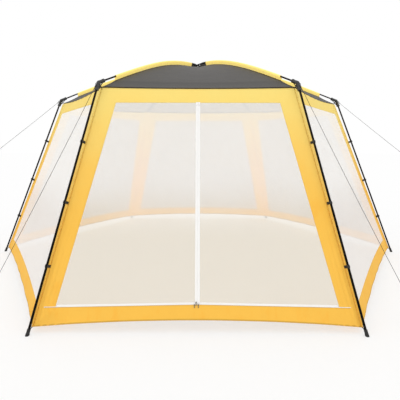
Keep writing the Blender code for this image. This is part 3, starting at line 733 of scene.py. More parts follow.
def loft(bm, placings, sides=16, profile=None, ends="capped"):
    """A skin through a ring at each placing. The ends are capped, open, or joined to each other."""
    ring = bmesh.ops.create_circle(bm, cap_ends=False, segments=sides, radius=1.0)["verts"]
    if profile:
        for vert in ring:
            vert.co = profile(atan2(vert.co.y, vert.co.x))
    edges = edges_of(ring)
    first = list(edges)
    bmesh.ops.transform(bm, matrix=placings[0], verts=ring)
    for before, after in zip(placings, placings[1:]):
        made = bmesh.ops.extrude_edge_only(bm, edges=edges)["geom"]
        ring = of_type(made, bmesh.types.BMVert)
        fresh = set(ring)
        edges = [edge for edge in of_type(made, bmesh.types.BMEdge) if set(edge.verts) <= fresh]
        bmesh.ops.transform(bm, matrix=after @ before.inverted(), verts=ring)
    if ends == "joined":
        bmesh.ops.bridge_loops(bm, edges=first + edges)
    elif ends == "capped":
        bmesh.ops.contextual_create(bm, geom=first)
        bmesh.ops.contextual_create(bm, geom=edges)


def across_path(centre, ahead, side, wide, high=None):
    """A ring's placing: square to the path, one axis near the side given, stretched to these radii."""
    ahead = Vector(ahead).normalized()
    up = ahead.cross(side).normalized()
    flat = up.cross(ahead)
    turn = Matrix((flat, up, ahead)).transposed().to_4x4()
    return Matrix.Translation(centre) @ turn @ Matrix.Diagonal((wide, high or wide, 1.0, 1.0))


def plane_rings(angle, stations):
    """Ring placings in the upright plane of a corner, from (out, up, direction out, direction up, radius)."""
    side = -beside(angle)
    return [
        across_path(place(angle, out, 0, up), place(angle, go_out, 0, go_up), side, radius)
        for out, up, go_out, go_up, radius in stations
    ]


def along_line(start, way, cuts):
    return [(start[0] + way[0] * at, start[1] + way[1] * at, *way, radius) for at, radius in cuts]


def bent_rod(angle, points, radii):
    """Ring placings along a polyline of (out, up) points in a corner's upright plane."""
    stations = []
    for i, (point, radius) in enumerate(zip(points, radii)):
        before, after = points[max(i - 1, 0)], points[min(i + 1, len(points) - 1)]
        stations.append((*point, after[0] - before[0], after[1] - before[1], radius))
    return plane_rings(angle, stations)


def torus(bm, centre, axis, major, minor, steps=24, sides=10):
    """A ring turned by a full spin of a small circle."""
    axis = Vector(axis).normalized()
    side = axis.orthogonal().normalized()
    placing = across_path(Vector(centre) + side * major, axis.cross(side), axis, minor)
    made = bmesh.ops.create_circle(bm, cap_ends=False, segments=sides, radius=1.0, matrix=placing)["verts"]
    bmesh.ops.spin(
        bm, geom=made + edges_of(made), cent=centre, axis=axis, dvec=(0, 0, 0), angle=2 * pi, steps=steps,
        use_merge=True,
    )


def block(bm, centre, ahead, side, sizes, round_off=0.0):
    """A block of these sizes, its last one along ahead and its first near side, with rounded edges."""
    box(bm, across_path(centre, ahead, side, 1.0), sizes, round_off)


def box(bm, placing, sizes, round_off=0.0):
    """A block of these sizes at the placing, with rounded edges."""
    made = bmesh.ops.create_cube(bm, size=1.0, matrix=placing @ Matrix.Diagonal((*sizes, 1.0)))["verts"]
    if round_off:
        bmesh.ops.bevel(
            bm, geom=edges_of(made), offset=round_off, affect="EDGES", segments=2, profile=0.5, material=-1
        )


def layer_of(bm, name):
    layers = bm.verts.layers.float_vector
    return layers.get(name) or layers.new(name)


def lay_sheet(bm, columns, rows, shape, flat, notes=None):
    """A grid carried to shape(s, t), with its flat place and seam distances kept as attributes."""
    cloth, seam = layer_of(bm, "cloth"), layer_of(bm, "seam")
    for vert in bmesh.ops.create_grid(bm, x_segments=columns, y_segments=rows, size=0.5)["verts"]:
        s, t = vert.co.x + 0.5, vert.co.y + 0.5
        vert[cloth] = (*flat(s, t), 0.0)
        vert[seam] = notes(s, t) if notes else (0.0, 1.0, 1.0)
        vert.co = shape(s, t)


def link(name, data):
    made = bpy.data.objects.new(name, data)
    bpy.context.scene.collection.objects.link(made)
    return made


def mesh_of(name, bm, material):
    mesh = bpy.data.meshes.new(name)
    bm.to_mesh(mesh)
    bm.free()
    mesh.materials.append(material)
    return mesh


def add_piece(name, bm, finish, nodes=(), body=ROOT, closed=True, thick=0.0, lining=None, ride=True):
    """Turns the bmesh into a named piece that rides on its body and stands for these nodes."""
    if closed:
        bmesh.ops.recalc_face_normals(bm, faces=bm.faces)
    mesh = mesh_of(name, bm, paint_of(finish))
    mesh.shade_smooth()
    mesh.set_sharp_from_angle(angle=radians(40))
    piece = link(name, mesh)
    if thick:
        wall = piece.modifiers.new("Thickness", "SOLIDIFY")
        wall.thickness = thick
        wall.offset = 0.0
        if lining:
            mesh.materials.append(paint_of(lining))
            wall.material_offset = 1
    if ride:
        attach(piece, body)
    if nodes:
        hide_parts(*nodes)
    return piece


def add_skin(name, placings, sides, finish, nodes=(), ends="capped"):
    """A piece that is one skin over its rings."""
    bm = bmesh.new()
    loft(bm, placings, sides, ends=ends)
    return add_piece(name, bm, finish, nodes)


# Camera and stage
class TENT_OT_camera(bpy.types.Operator):
    """Sets the camera at the photograph's viewing angle"""

    bl_idname = "tent.camera"
    bl_label = "Camera"

    def execute(self, context):
        data = bpy.data.cameras.new("camera")
        data.lens = CAMERA_LENS
        data.sensor_width = CAMERA_SENSOR
        data.shift_y = HORIZON_ROW / FRAME_SIDE - 0.5
        camera = link("camera", data)
        camera.location = CAMERA_PLACE
        camera.rotation_euler = (pi / 2, CAMERA_ROLL, 0)
        context.scene.camera = camera
        return {"FINISHED"}


FLOOR_REACH = 40.0
FLOOR_DROP = 0.0005
FLOOR_WHITE = 0.60
SKY_LIGHT = 0.86
SUN_LIGHT = 0.72
SUN_SPREAD = 120.0
SUN_WAY = (-0.12, -0.76, 0.62)


def seen_directly(paint_nodes, links):
    """1 for camera, glossy and transmission rays."""
    rays = paint_nodes.new("ShaderNodeLightPath")
    total = rays.outputs["Is Camera Ray"]
    for name in ("Is Glossy Ray", "Is Transmission Ray"):
        either = paint_nodes.new("ShaderNodeMath")
        either.operation = "MAXIMUM"
        links.new(total, either.inputs[0])
        links.new(rays.outputs[name], either.inputs[1])
        total = either.outputs[0]
    return total


class TENT_OT_stage(bpy.types.Operator):
    """Lays a plain pale floor, soft studio light and a white backdrop"""

    bl_idname = "tent.stage"
    bl_label = "Stage"

    def execute(self, context):
        paint = Paint("stage_floor")
        grit = paint.noise(3.0, 4.0, 0.6)
        base = paint.tone(paint.colour("floor"), 0.995 + grit * 0.01)
        values = {"Base Color": base, "Roughness": 0.9, "Specular IOR Level": 0.0}
        lit = paint.node("BsdfPrincipled", (), values)
        white = paint.node("Emission", (), {"Color": (1.0, 1.0, 1.0), "Strength": 1.0})
        seen = Number(paint, seen_directly(paint.nodes, paint.links))
        mixed = paint.node("MixShader", (), {0: seen * FLOOR_WHITE, 1: lit.outputs[0], 2: white.outputs[0]})
        paint.node("OutputMaterial", (), {"Surface": mixed.outputs[0]})
        bm = bmesh.new()
        bmesh.ops.create_grid(bm, x_segments=8, y_segments=8, size=FLOOR_REACH)
        bmesh.ops.translate(bm, verts=bm.verts, vec=(0, 0, -FLOOR_DROP))
        floor = link("stage_floor", mesh_of("stage_floor", bm, paint.material))

        world = bpy.data.worlds.new("stage_sky")
        context.scene.world = world
        world.use_nodes = True
        nodes, links = world.node_tree.nodes, world.node_tree.links
        nodes.clear()
        output = nodes.new("ShaderNodeOutputWorld")
        mixed = nodes.new("ShaderNodeMixShader")
        links.new(seen_directly(nodes, links), mixed.inputs[0])
        for slot, strength in ((1, SKY_LIGHT), (2, 1.0)):
            sky = nodes.new("ShaderNodeBackground")
            sky.inputs["Color"].default_value = (1.0, 1.0, 1.0, 1.0)
            sky.inputs["Strength"].default_value = strength
            links.new(sky.outputs[0], mixed.inputs[slot])
        links.new(mixed.outputs[0], output.inputs[0])

        lamp = bpy.data.lights.new("stage_sun", "SUN")
        lamp.energy = SUN_LIGHT
        lamp.angle = radians(SUN_SPREAD)
        link("stage_sun", lamp).rotation_euler = Vector(SUN_WAY).to_track_quat("Z", "Y").to_euler()
        context.scene.view_settings.view_transform = "Standard"
        return {"FINISHED"}


# Guy ropes and pegs. A knot is three turns of rope on the line
KNOT_TURNS = (0.0030, 0.0034, 0.0030)
KNOT_PITCH = 0.003
EYE_LOOP = 0.0058
EYE_LOOP_AT = 0.0035
EYE_KNOT = 0.0115
PEG_KNOT = 0.010
TIE_HALF = 0.0020


def rope_route(name):
    """The rope's points from eye to peg, the eye's rim point, and the peg's tie point and shaft direction."""
    angle = CORNERS[name]
    radius = bpy.context.scene.tent_sizes.rope / 2
    ground = Vector((*PEGS[name], 0.0))
    eye = place(angle, EYE_ROOT[0], 0, EYE_ROOT[1])
    away = Vector((ground.x - eye.x, ground.y - eye.y, 0)).normalized()
    shaft = (away * PEG_LEAN + Vector((0, 0, 1))).normalized()
    way = (ground - eye).normalized()
    side = (away - shaft * away.dot(shaft)).normalized()
    reach = PEG_ROD + radius * sqrt(1 - way.dot(side) ** 2) + FIT
    low = ground + shaft * ROPE_TIE - side * reach
    across = beside(angle)
    rim = (way - across * way.dot(across)).normalized()
    high = eye + rim * EYE_MAJOR + way * (EYE_MINOR + FIT)
    points = [high.lerp(low, t) for t in spread(0, 1, ROPE_POINTS - 1)]
    for point, t in zip(points, spread(0, 1, ROPE_POINTS - 1)):
        point.z -= ROPE_SLACK * (low - high).length * 4 * t * (1 - t)
    return points, eye + rim * EYE_MAJOR, ground + shaft * ROPE_TIE, shaft


def add_knot(bm, start, way, first, radius):
    for i, wide in enumerate(KNOT_TURNS):
        torus(bm, start + way * (first + i * KNOT_PITCH), way, wide, radius, 16, 8)


class TENT_OT_guy_ropes(bpy.types.Operator):
    """Makes the six guy ropes with their knots, and plates the pegs"""

    bl_idname = "tent.guy_ropes"
    bl_label = "Guy ropes and pegs"

    def execute(self, context):
        diameter = context.scene.tent_sizes.rope
        radius = diameter / 2
        for name, angle in CORNERS.items():
            points, rim, tie, shaft = rope_route(name)
            data = bpy.data.curves.new("guy_rope_line_" + name, "CURVE")
            data.dimensions = "3D"
            data.bevel_depth = radius
            data.bevel_resolution = 3
            data.use_fill_caps = True
            line = data.splines.new("POLY")
            line.points.add(len(points) - 1)
            for slot, point in zip(line.points, points):
                slot.co = (*point, 1.0)
            data.materials.append(paint_of("rope"))
            rope = link("guy_rope_line_" + name, data)
            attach(rope, ROOT)
            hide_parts("guy_rope_" + name)

            bm = bmesh.new()
            way = (points[1] - points[0]).normalized()
            torus(bm, rim + way * EYE_LOOP_AT, way.cross(beside(angle)), EYE_LOOP, radius, 20, 8)
            add_knot(bm, points[0], way, EYE_KNOT, radius)
            for step in (-TIE_HALF, TIE_HALF):
                torus(bm, tie + shaft * step, shaft, PEG_ROD + radius, radius, 20, 8)
            add_knot(bm, points[-1], (points[-2] - points[-1]).normalized(), PEG_KNOT, radius)
            knots = add_piece("rope_knots_" + name, bm, "rope")

            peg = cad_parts["peg_" + name]
            peg.data.materials.clear()
            peg.data.materials.append(paint_of("zinc"))
            length = sum((b - a).length for a, b in zip(points, points[1:]))
            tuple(points[0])
        return {"FINISHED"}


# Pole frame
POLES = {"side": (0, 2), "left_diagonal": (60, 1), "right_diagonal": (120, 0)}
POLE_END = KNEE[0] - ROOF_WAY[0] * (ROOF_ARM - ROOF_SOCKET + 2 * FIT)


class TENT_OT_roof_poles(bpy.types.Operator):
    """Makes the three bowed roof poles"""

    bl_idname = "tent.roof_poles"
    bl_label = "Roof poles"

    def execute(self, context):
        for name, (angle, layer) in POLES.items():
            stations = pole_stations(spread(-POLE_END, POLE_END, 150), layer, lambda out: ROOF_TUBE)
            rings = plane_rings(angle, stations)
            add_skin("bowed_pole_" + name, rings, 20, "painted_steel", ["roof_pole_" + name])
        return {"FINISHED"}


# A collar's rings from its mouth in, with a shallow groove: distance, and change of radius
COLLAR_CUTS = (
    (0, -0.0020), (0.0006, -0.0008), (0.0020, 0), (0.0065, 0), (0.0075, -0.0007),
    (0.0085, -0.0007), (0.0095, 0), (0.0140, 0), (0.0154, -0.0008), (0.0160, -0.0022),
)
MOUTH_ROUND = 0.001
ELBOW_SWELL = 0.14
WEB_END = 0.010
WEB_LAP = 0.001
WEB_HOLLOW = 0.45
WEB_RIB = 0.0034
HOOK_DIP = 0.0035
LOOP_MAJOR = 0.0060
LOOP_MINOR = 0.0016
LOOP_TAB = (0.016, 0.0016, 0.034)


def collar(start, way, radius):
    return [(start + way * at, radius + change) for at, change in COLLAR_CUTS]


def elbow_body():
    """Stations of the bent body, from the roof pole's socket round to the leg's."""
    cosine = LEG_WAY[0] * ROOF_WAY[0] + LEG_WAY[1] * ROOF_WAY[1]
    tangent = ELBOW_BEND * sqrt((1 - cosine) / (1 + cosine))
    roof_bore, leg_bore, skin = ROOF_TUBE + FIT, LEG_TUBE + FIT, ELBOW_BODY + ELBOW_SKIN
    roof_cuts = [(ROOF_SOCKET - ROOF_ARM, roof_bore), (MOUTH_ROUND - ROOF_ARM, roof_bore)]
    roof_cuts += [(-ROOF_ARM, roof_bore + MOUTH_ROUND), *collar(-ROOF_ARM, 1, ROOF_COLLAR + ELBOW_SKIN)]
    roof_cuts += [(COLLAR_LENGTH + 0.004 - ROOF_ARM, skin - 0.0005)]
    leg_cuts = [(LEG_ARM - COLLAR_LENGTH - 0.004, skin + 0.0005)]
    leg_cuts += collar(LEG_ARM, -1, LEG_COLLAR + ELBOW_SKIN)[::-1]
    leg_cuts += [(LEG_ARM, leg_bore + MOUTH_ROUND), (LEG_ARM - MOUTH_ROUND, leg_bore)]
    leg_cuts += [(LEG_ARM - LEG_SOCKET, leg_bore)]
    begin = [at - way * tangent for at, way in zip(KNEE, ROOF_WAY)]
    end = [at + way * tangent for at, way in zip(KNEE, LEG_WAY)]
    stations = along_line(KNEE, ROOF_WAY, roof_cuts)
    for t in spread(0, 1, 14):
        way = [(1 - t) * a + t * b for a, b in zip(ROOF_WAY, LEG_WAY)]
        stations.append((*bezier(t, begin, KNEE, end), *way, skin * (1 + ELBOW_SWELL * sin(pi * t))))
    return stations + along_line(KNEE, LEG_WAY, leg_cuts)


def add_web(bm, angle):
    """The flat web inside the bend, with its free edge curved in, and a thicker rib along that edge."""
    roof_in, leg_in = (ROOF_WAY[1], -ROOF_WAY[0]), (LEG_WAY[1], -LEG_WAY[0])
    bend = [a + b for a, b in zip(roof_in, leg_in)]
    reach = 2 * (WEB_REACH - WEB_LAP) / (bend[0] ** 2 + bend[1] ** 2)
    root = [at + way * reach for at, way in zip(KNEE, bend)]
    arms = []
    lines = (ROOF_WAY, roof_in, WEB_END - ROOF_ARM), (LEG_WAY, leg_in, LEG_ARM - WEB_END)
    for way, inward, length in lines:
        arms.append([KNEE[i] + way[i] * length + inward[i] * (WEB_REACH + WEB_LAP) for i in range(2)])
    middle = [(a + b) / 2 * (1 - WEB_HOLLOW) + r * WEB_HOLLOW for a, b, r in zip(*arms, root)]
    free = [bezier(t, arms[0], middle, arms[1]) for t in spread(0, 1, 12)]
    half = WEB_THICKNESS / 2
    verts = [bm.verts.new(place(angle, out, -half, up)) for out, up in [root, *free]]
    face = bmesh.ops.contextual_create(bm, geom=verts)["faces"]
    made = bmesh.ops.extrude_face_region(bm, geom=face, use_keep_orig=True)["geom"]
    bmesh.ops.translate(bm, verts=of_type(made, bmesh.types.BMVert), vec=place(angle, 0, 2 * half, 0))
    loft(bm, bent_rod(angle, free, [WEB_RIB] * len(free)), 10)


def hook_path():
    """The hook dips from the web and comes up under the roof cloth's corner."""
    path = []
    for t in spread(0, 1, 12):
        out, up = [a + (b - a) * t for a, b in zip(HOOK_START, HOOK_END)]
        path.append((out, up - HOOK_DIP * sin(pi * t)))
    radii = [HOOK_ROD * 1.25, HOOK_ROD * 1.1] + [HOOK_ROD] * 7
    return path, radii + [HOOK_KNOB * share for share in (0.75, 1, 0.92, 0.45)]


class TENT_OT_elbows(bpy.types.Operator):
    """Makes the six moulded elbows, each with its web, hook and rope eye"""

    bl_idname = "tent.elbows"
    bl_label = "Elbows"

    def execute(self, context):
        for name, angle in CORNERS.items():
            bm = bmesh.new()
            loft(bm, plane_rings(angle, elbow_body()), 36)
            add_web(bm, angle)
            loft(bm, bent_rod(angle, *hook_path()), 14)
            across = beside(angle)
            torus(bm, place(angle, EYE_ROOT[0], 0, EYE_ROOT[1]), across, EYE_MAJOR, EYE_MINOR, 32, 12)
            add_piece("moulded_elbow_" + name, bm, "elbow_plastic", ["elbow_" + name])
            bm = bmesh.new()
            knob = place(angle, HOOK_END[0] + 0.0035, 0, HOOK_END[1] - 0.0008)
            torus(bm, knob, place(angle, 0.9, 0, 0.3), LOOP_MAJOR, LOOP_MINOR, 24, 8)
            tab = place(angle, EAVE_RADIUS - 0.006, 0, EAVE_HEIGHT - 0.0045)
            block(bm, tab, place(angle, 1, 0, -0.35), across, LOOP_TAB, 0.0005)
            add_piece("corner_loop_" + name, bm, "clip_plastic")
        return {"FINISHED"}


FOOT_SEAT = 0.0085
CLIP_TURN = 285
CLIP_BLOCK = (0.0220, 0.0150)
THUMB_REST = (0.0050, 0.0080, CLIP_LENGTH * 0.7)
WEBBING = (0.0130, 0.0024)
SEWN_END = (0.0090, 0.0016, 0.026)


def leg_rings():
    """Rings of the leg's tube, up its outside and down its inside."""
    low, high = FOOT_SEAT + 2 * FIT, LEG_LENGTH - LEG_ARM + LEG_SOCKET - 2 * FIT
    inner = LEG_TUBE - LEG_WALL
    return [(at, LEG_TUBE) for at in spread(low, high, 24)] + [(high, inner), (low, inner)]


def leg_axes(angle):
    """The way up a leg, and the way square to it towards the cloth."""
    return place(angle, UP_LEG[0], 0, UP_LEG[1]), place(angle, LEG_WAY[1], 0, -LEG_WAY[0])


def add_clip(bm, angle, height):
    """A snap ring open to one side, with a block on the cloth's side of it and a thumb rest on the other."""
    axis, inward = leg_axes(angle)
    centre = place(angle, leg_out(height), 0, height)
    wall = CLIP_OUTER - LEG_TUBE - FIT
    start = (beside(angle) * 0.82 - inward * 0.57).normalized()
    rim = centre + start * (LEG_TUBE + FIT + wall / 2)
    profile = across_path(rim, axis.cross(start), axis, CLIP_LENGTH / 2, wall / 2)
    made = bmesh.ops.create_circle(bm, cap_ends=False, segments=12, radius=1.0, matrix=profile)["verts"]
    for vert in made:
        spot = profile.inverted() @ vert.co
        square = max(abs(spot.x), abs(spot.y))
        vert.co = profile @ Vector([part / square * (0.9 + 0.1 * square) for part in spot])
    edges = edges_of(made)
    turned = bmesh.ops.spin(
        bm, geom=made + edges, cent=centre, axis=axis, dvec=(0, 0, 0), angle=radians(CLIP_TURN), steps=26,
        use_merge=False,
    )
    for end in (edges, of_type(turned["geom_last"], bmesh.types.BMEdge)):
        bmesh.ops.contextual_create(bm, geom=end)
    root, tip = centre + inward * (CLIP_OUTER - 0.002), centre + inward * CLIP_REACH
    block(bm, (root + tip) / 2, tip - root, axis, (*CLIP_BLOCK, (tip - root).length), 0.0030)
    block(bm, centre - inward * CLIP_OUTER, axis, inward, THUMB_REST, 0.0012)


def add_tab(bm, angle, height):
    """The webbing that ties a clip to the corner seam, and its flat end sewn along the seam."""
    axis, inward = leg_axes(angle)
    root = place(angle, leg_out(height), 0, height) + inward * (CLIP_REACH - 0.003)
    tip, end = (place(angle, seam_out(root.z) + proud, 0, root.z) for proud in (0.0002, 0.0010))
    block(bm, (root + tip) / 2, tip - root, axis, (*WEBBING, (tip - root).length), 0.0007)
    block(bm, end, place(angle, -0.38, 0, 1), beside(angle), SEWN_END, 0.0005)


LEG_FITTINGS = (("leg_clips_", "clip_plastic", add_clip), ("clip_tabs_", "hem_cloth", add_tab))


class TENT_OT_legs(bpy.types.Operator):
    """Makes the six leg tubes with their snap clips"""

    bl_idname = "tent.legs"
    bl_label = "Legs and clips"

    def execute(self, context):
        for name, angle in CORNERS.items():
            rings = plane_rings(angle, along_line(FOOT, UP_LEG, leg_rings()))
            add_skin("leg_tube_" + name, rings, 28, "painted_steel", ["leg_" + name], ends="joined")
            for piece, finish, add in LEG_FITTINGS:
                bm = bmesh.new()
                for height in CLIP_HEIGHTS:
                    add(bm, angle, height)
                add_piece(piece + name, bm, finish)
        return {"FINISHED"}


FOOT_GROOVES = (0.025, 0.030, 0.035)
GROOVE = 0.0007
MOUTH_EDGE = 0.0022
STRAP_HEIGHT = 0.034
STRAP_ROD = 0.0024
STRAP_EYE = (0.0058, 0.0014)


def foot_rings():
    """Rings up a foot: its flared pad, the grooves and the rounded mouth, then down its bore."""
    cuts = [(0.010, FOOT_PAD), (0.013, FOOT_PAD), (0.015, FOOT_PAD - 0.0008), (0.0185, FOOT_BODY + 0.0006)]
    cuts += [(0.020, FOOT_BODY)]
    for at in FOOT_GROOVES:
        cuts += [(at, FOOT_BODY), (at + 0.0006, FOOT_BODY - GROOVE)]
        cuts += [(at + 0.0016, FOOT_BODY - GROOVE), (at + 0.0022, FOOT_BODY)]
    cuts += [(FOOT_HEIGHT - MOUTH_EDGE, FOOT_BODY), (FOOT_HEIGHT - 0.0006, FOOT_BODY - GROOVE)]
    cuts += [(FOOT_HEIGHT, FOOT_BODY - MOUTH_EDGE)]
    return cuts + [(FOOT_HEIGHT, LEG_TUBE + FIT), (FOOT_SEAT, LEG_TUBE + FIT)]


class TENT_OT_feet(bpy.types.Operator):
    """Makes the six rubber feet and their hem straps"""

    bl_idname = "tent.feet"
    bl_label = "Feet"

    def execute(self, context):
        for name, angle in CORNERS.items():
            across = -beside(angle)
            soles = []
            for height, pad in ((0.0, FOOT_PAD - 0.0012), (0.0014, FOOT_PAD)):
                centre = place(angle, FOOT[0], 0, 0) + leg_axes(angle)[0] * height / UP_LEG[1]
                soles.append(across_path(centre, (0, 0, 1), across, pad, pad / UP_LEG[1]))
            bm = bmesh.new()
            loft(bm, soles + plane_rings(angle, along_line(FOOT, UP_LEG, foot_rings())), 36)
            outs = spread(leg_out(STRAP_HEIGHT) - FOOT_BODY + 0.0012, HEM_RADIUS + 0.0010, 6)
            path = list(zip(outs, spread(STRAP_HEIGHT, HEM_HEIGHT + 0.004, 6)))
            loft(bm, bent_rod(angle, path, [STRAP_ROD] * len(path)), 12)
            torus(bm, place(angle, HEM_RADIUS + 0.0030, 0, HEM_HEIGHT + 0.002), across, *STRAP_EYE, 24, 8)
            add_piece("rubber_foot_" + name, bm, "foot_rubber", ["foot_" + name])
        return {"FINISHED"}


# Roof cloth, its eave binding, and the sleeves
GORE_STEPS = 20
RADIAL_STEPS = 84
RIM_STEPS = 24
EAVE_BINDING = (0.0075, 0.0050, 0.0045)
ROOF_EDGE = EAVE_RADIUS + EAVE_LAP
MERGE = 0.00002


def roof_wrinkle(out, turn):
    """Small folds: drawn out from the peak, and fanned in from each corner along the eave."""
    peak = 0.0045 * exp(-((out - 0.17) / 0.16) ** 2) * sin(6 * turn + 0.8) * sin(2 * turn)
    drawn = 0.0022 * exp(-((out - 0.55) / 0.45) ** 2) * sin(18 * turn + 3.0 * out)
    eave = 0.0020 * ease(out, 1.25, 1.62) * (1 - ease(out, 1.66, 1.705)) * sin(48 * turn + 5.0 * out)
    return (peak + drawn + eave) * ease(out, 0.02, 0.12)


def gore_of(s):
    """The gore at this share of the way round, and the share of its width."""
    gore = min(int(s * 6), 5)
    return gore, s * 6 - gore


def roof_shape(s, t):
    out = ROOF_EDGE * (0.0005 + 0.9995 * t)
    gore, share = gore_of(s)
    point = roof_point(out, gore, share)
    point.z += roof_wrinkle(out, 2 * pi * s) * 4 * share * (1 - share) - ROOF_CLOTH / 4
    return point


def roof_flat(s, t):
    return s * 6 * EAVE_RADIUS * t, EAVE_RADIUS * t


def roof_notes(s, t):
    out, share = ROOF_EDGE * t, gore_of(s)[1]
    return out + share * out, out * min(share, 1 - share), (ROOF_EDGE - out) * HALF_TURN


def rim_rings(wide, high, inset):
    """Ring placings round the eave, on the roof cloth's edge."""
    spots = []
    for step in range(6 * RIM_STEPS):
        gore, share = divmod(step, RIM_STEPS)
        spots.append(roof_point(ROOF_EDGE - inset, gore, share / RIM_STEPS) - Vector((0, 0, ROOF_CLOTH / 2)))
    placings = []
    for i, spot in enumerate(spots):
        ahead = spots[(i + 1) % len(spots)] - spots[i - 1]
        placings.append(across_path(spot, ahead, Vector((0, 0, 1)).cross(ahead).normalized(), wide, high))
    return placings


class TENT_OT_canopy(bpy.types.Operator):
    """Makes the roof as one curved sheet over six gores, with a bound eave"""

    bl_idname = "tent.canopy"
    bl_label = "Canopy"

    def execute(self, context):
        bm = bmesh.new()
        lay_sheet(bm, 6 * GORE_STEPS, RADIAL_STEPS, roof_shape, roof_flat, roof_notes)
        bmesh.ops.remove_doubles(bm, verts=bm.verts, dist=MERGE)
        bmesh.ops.reverse_faces(bm, faces=bm.faces)
        thick = context.scene.tent_sizes.roof_cloth
        canopy = add_piece(
            "roof_sheet", bm, "roof_cloth", ["canopy"], closed=False, thick=thick, lining="roof_lining"
        )
        binding = add_skin("eave_binding", rim_rings(*EAVE_BINDING), 12, "piping", ends="joined")
        return {"FINISHED"}


SLEEVE_RADIUS = 0.0112
SLEEVE_FIN = 0.0018
SLEEVE_FOOT = RIDGE_DROP - SEAT
SLEEVE_STEPS = 110
SLEEVE_SEAM = 0.012
WRAP_START = 0.075
WRAP_PITCH = 0.019
WRAP_THICK = 0.0042
GUSSET_START = 0.035
GUSSET_HALF = 0.0016


def sleeve_profile(turn):
    """Round over the pole, then drawn in to a fin that is sewn down on the roof."""
    if sin(turn) >= 0:
        return Vector((SLEEVE_RADIUS * cos(turn), SLEEVE_RADIUS * sin(turn), 0))
    depth = -sin(turn) ** 3 * 0.5 - sin(turn) * 0.5
    wide = SLEEVE_FIN + (SLEEVE_RADIUS - SLEEVE_FIN) * (1 - ease(depth, 0.02, 1.10))
    side = min(max(cos(turn) * 4, -1), 1)
    return Vector((wide * side, -SLEEVE_FOOT * depth, 0))


def sleeve_along(angle, layer):
    """Upright ring placings along a rib, so that each ring's lower point stays on the roof."""
    turn = Matrix((-beside(angle), (0, 0, 1), place(angle, 1, 0, 0))).transposed().to_4x4()
    placings = []
    for i, out in enumerate(spread(SLEEVE_START, SLEEVE_END, SLEEVE_STEPS)):
        ends = max(1 - min(i, SLEEVE_STEPS - i) / 1.5, 0)
        centre = Matrix.Translation(place(angle, out, 0, pole_height(out, layer)))
        placings.append(centre @ turn @ Matrix.Diagonal((1 + 0.05 * ends, 1 + 0.02 * ends, 1, 1)))
    return placings


def gather_sleeve(bm, angle, layer):
    """Keeps each point's flat place and seam distances, and adds the fin's sway and small gathers."""
    cloth, seam = layer_of(bm, "cloth"), layer_of(bm, "seam")
    across, outward = beside(angle), place(angle, 1, 0, 0)
    for vert in bm.verts:
        out = vert.co.dot(outward)
        below = pole_height(out, layer) - vert.co.z
        side = 1 if vert.co.dot(across) > 0 else -1
        vert[cloth] = (out, below + (0.03 if side > 0 else 0.0), 0.0)
        vert[seam] = (out, abs(below - SLEEVE_SEAM), min(out - SLEEVE_START, SLEEVE_END - out))
        fin = ease(below, 0.006, 0.020)
        sway = 0.0013 * sin(2 * pi * out / 0.043 + angle) * fin * (1 - ease(below, 0.028, 0.0345))
        gather = 0.0005 * sin(2 * pi * out / 0.019 + angle) * (1 - fin)
        vert.co += across * (sway + gather * side)
        vert.co.z += 0.0006 * sin(2 * pi * out / 0.027 + 2 * angle) * (1 - fin)


def wrap_radius(out):
    ridges = 0.8 + 0.2 * sin(2 * pi * out / WRAP_PITCH)
    return ROOF_TUBE + WRAP_THICK * ease(out, WRAP_START, WRAP_START + 0.012) * ridges


class TENT_OT_sleeves(bpy.types.Operator):
    """Makes the six pole sleeves, and the black wraps and gussets where the poles leave them at the peak"""

    bl_idname = "tent.sleeves"
    bl_label = "Sleeves"

    def execute(self, context):
        thick = context.scene.tent_sizes.cloth
        for name, angle in CORNERS.items():
            layer = LAYERS[angle // 60]
            bm = bmesh.new()
            loft(bm, sleeve_along(angle, layer), 32, sleeve_profile, ends="open")
            gather_sleeve(bm, angle, layer)
            bmesh.ops.recalc_face_normals(bm, faces=bm.faces)
            nodes = ["sleeve_" + name]
            sleeve = add_piece("pole_sleeve_" + name, bm, "sleeve_cloth", nodes, closed=False, thick=thick)
            stations = pole_stations(spread(WRAP_START, SLEEVE_START + 0.004, 30), layer, wrap_radius)
            add_skin("pole_wrap_" + name, plane_rings(angle, stations), 24, "clip_plastic")
            placings = []
            for out in spread(GUSSET_START, SLEEVE_START + 0.002, 24):
                high, low = pole_height(out, layer), ridge_height(out, layer) - ROOF_CLOTH / 2
                middle = place(angle, out, 0, (high + low) / 2)
                placings.append(
                    across_path(middle, place(angle, 1, 0, 0), beside(angle), GUSSET_HALF, (high - low) / 2)
                )
            add_skin("peak_gusset_" + name, placings, 14, "gusset_cloth")
        return {"FINISHED"}


# Walls and nets. A border is cut as four strips with mitred ends, this long in all
BORDER_SIDES = (("foot", 110), ("right", 90), ("top", 80), ("left", 90))
BORDER_STEPS = sum(count for _, count in BORDER_SIDES)
BORDER_ROWS = 14
SEAM_FIN = 0.0080
SEAM_HALF = 0.0022
STRIP_STEPS = 120
HEM_INSET = 0.0035
HEM_BINDING = (0.0050, 0.0013)
WIDEST_SEAM = 0.17


def border_edges(wall, s):
    """The outer and inner (across, upslope) of the border at this share of the way round it."""
    step = s * BORDER_STEPS
    for side, count in BORDER_SIDES:
        if step <= count:
            break
        step -= count
    t = min(max(step / count, 0.0), 1.0)
    if side == "foot":
        across, inner = wall_half(0) * (2 * t - 1), FOOT_HALF * (2 * t - 1)
        return (across, hem_line(across)), (inner, window_foot(inner, wall == "front"))
    if side == "top":
        across, inner = wall_half(WALL_TOP) * (1 - 2 * t), TOP_HALF * (1 - 2 * t)
        return (across, eave_line(across, eave_sag(WALLS[wall]))), (inner, WINDOW_TOP)
    sign = 1 if side == "right" else -1
    rise = t if side == "right" else 1 - t
    high, low = WALL_TOP * rise, BOTTOM_BAND + (WINDOW_TOP - BOTTOM_BAND) * rise
    return (sign * wall_half(high), high), (sign * window_half(low), low)


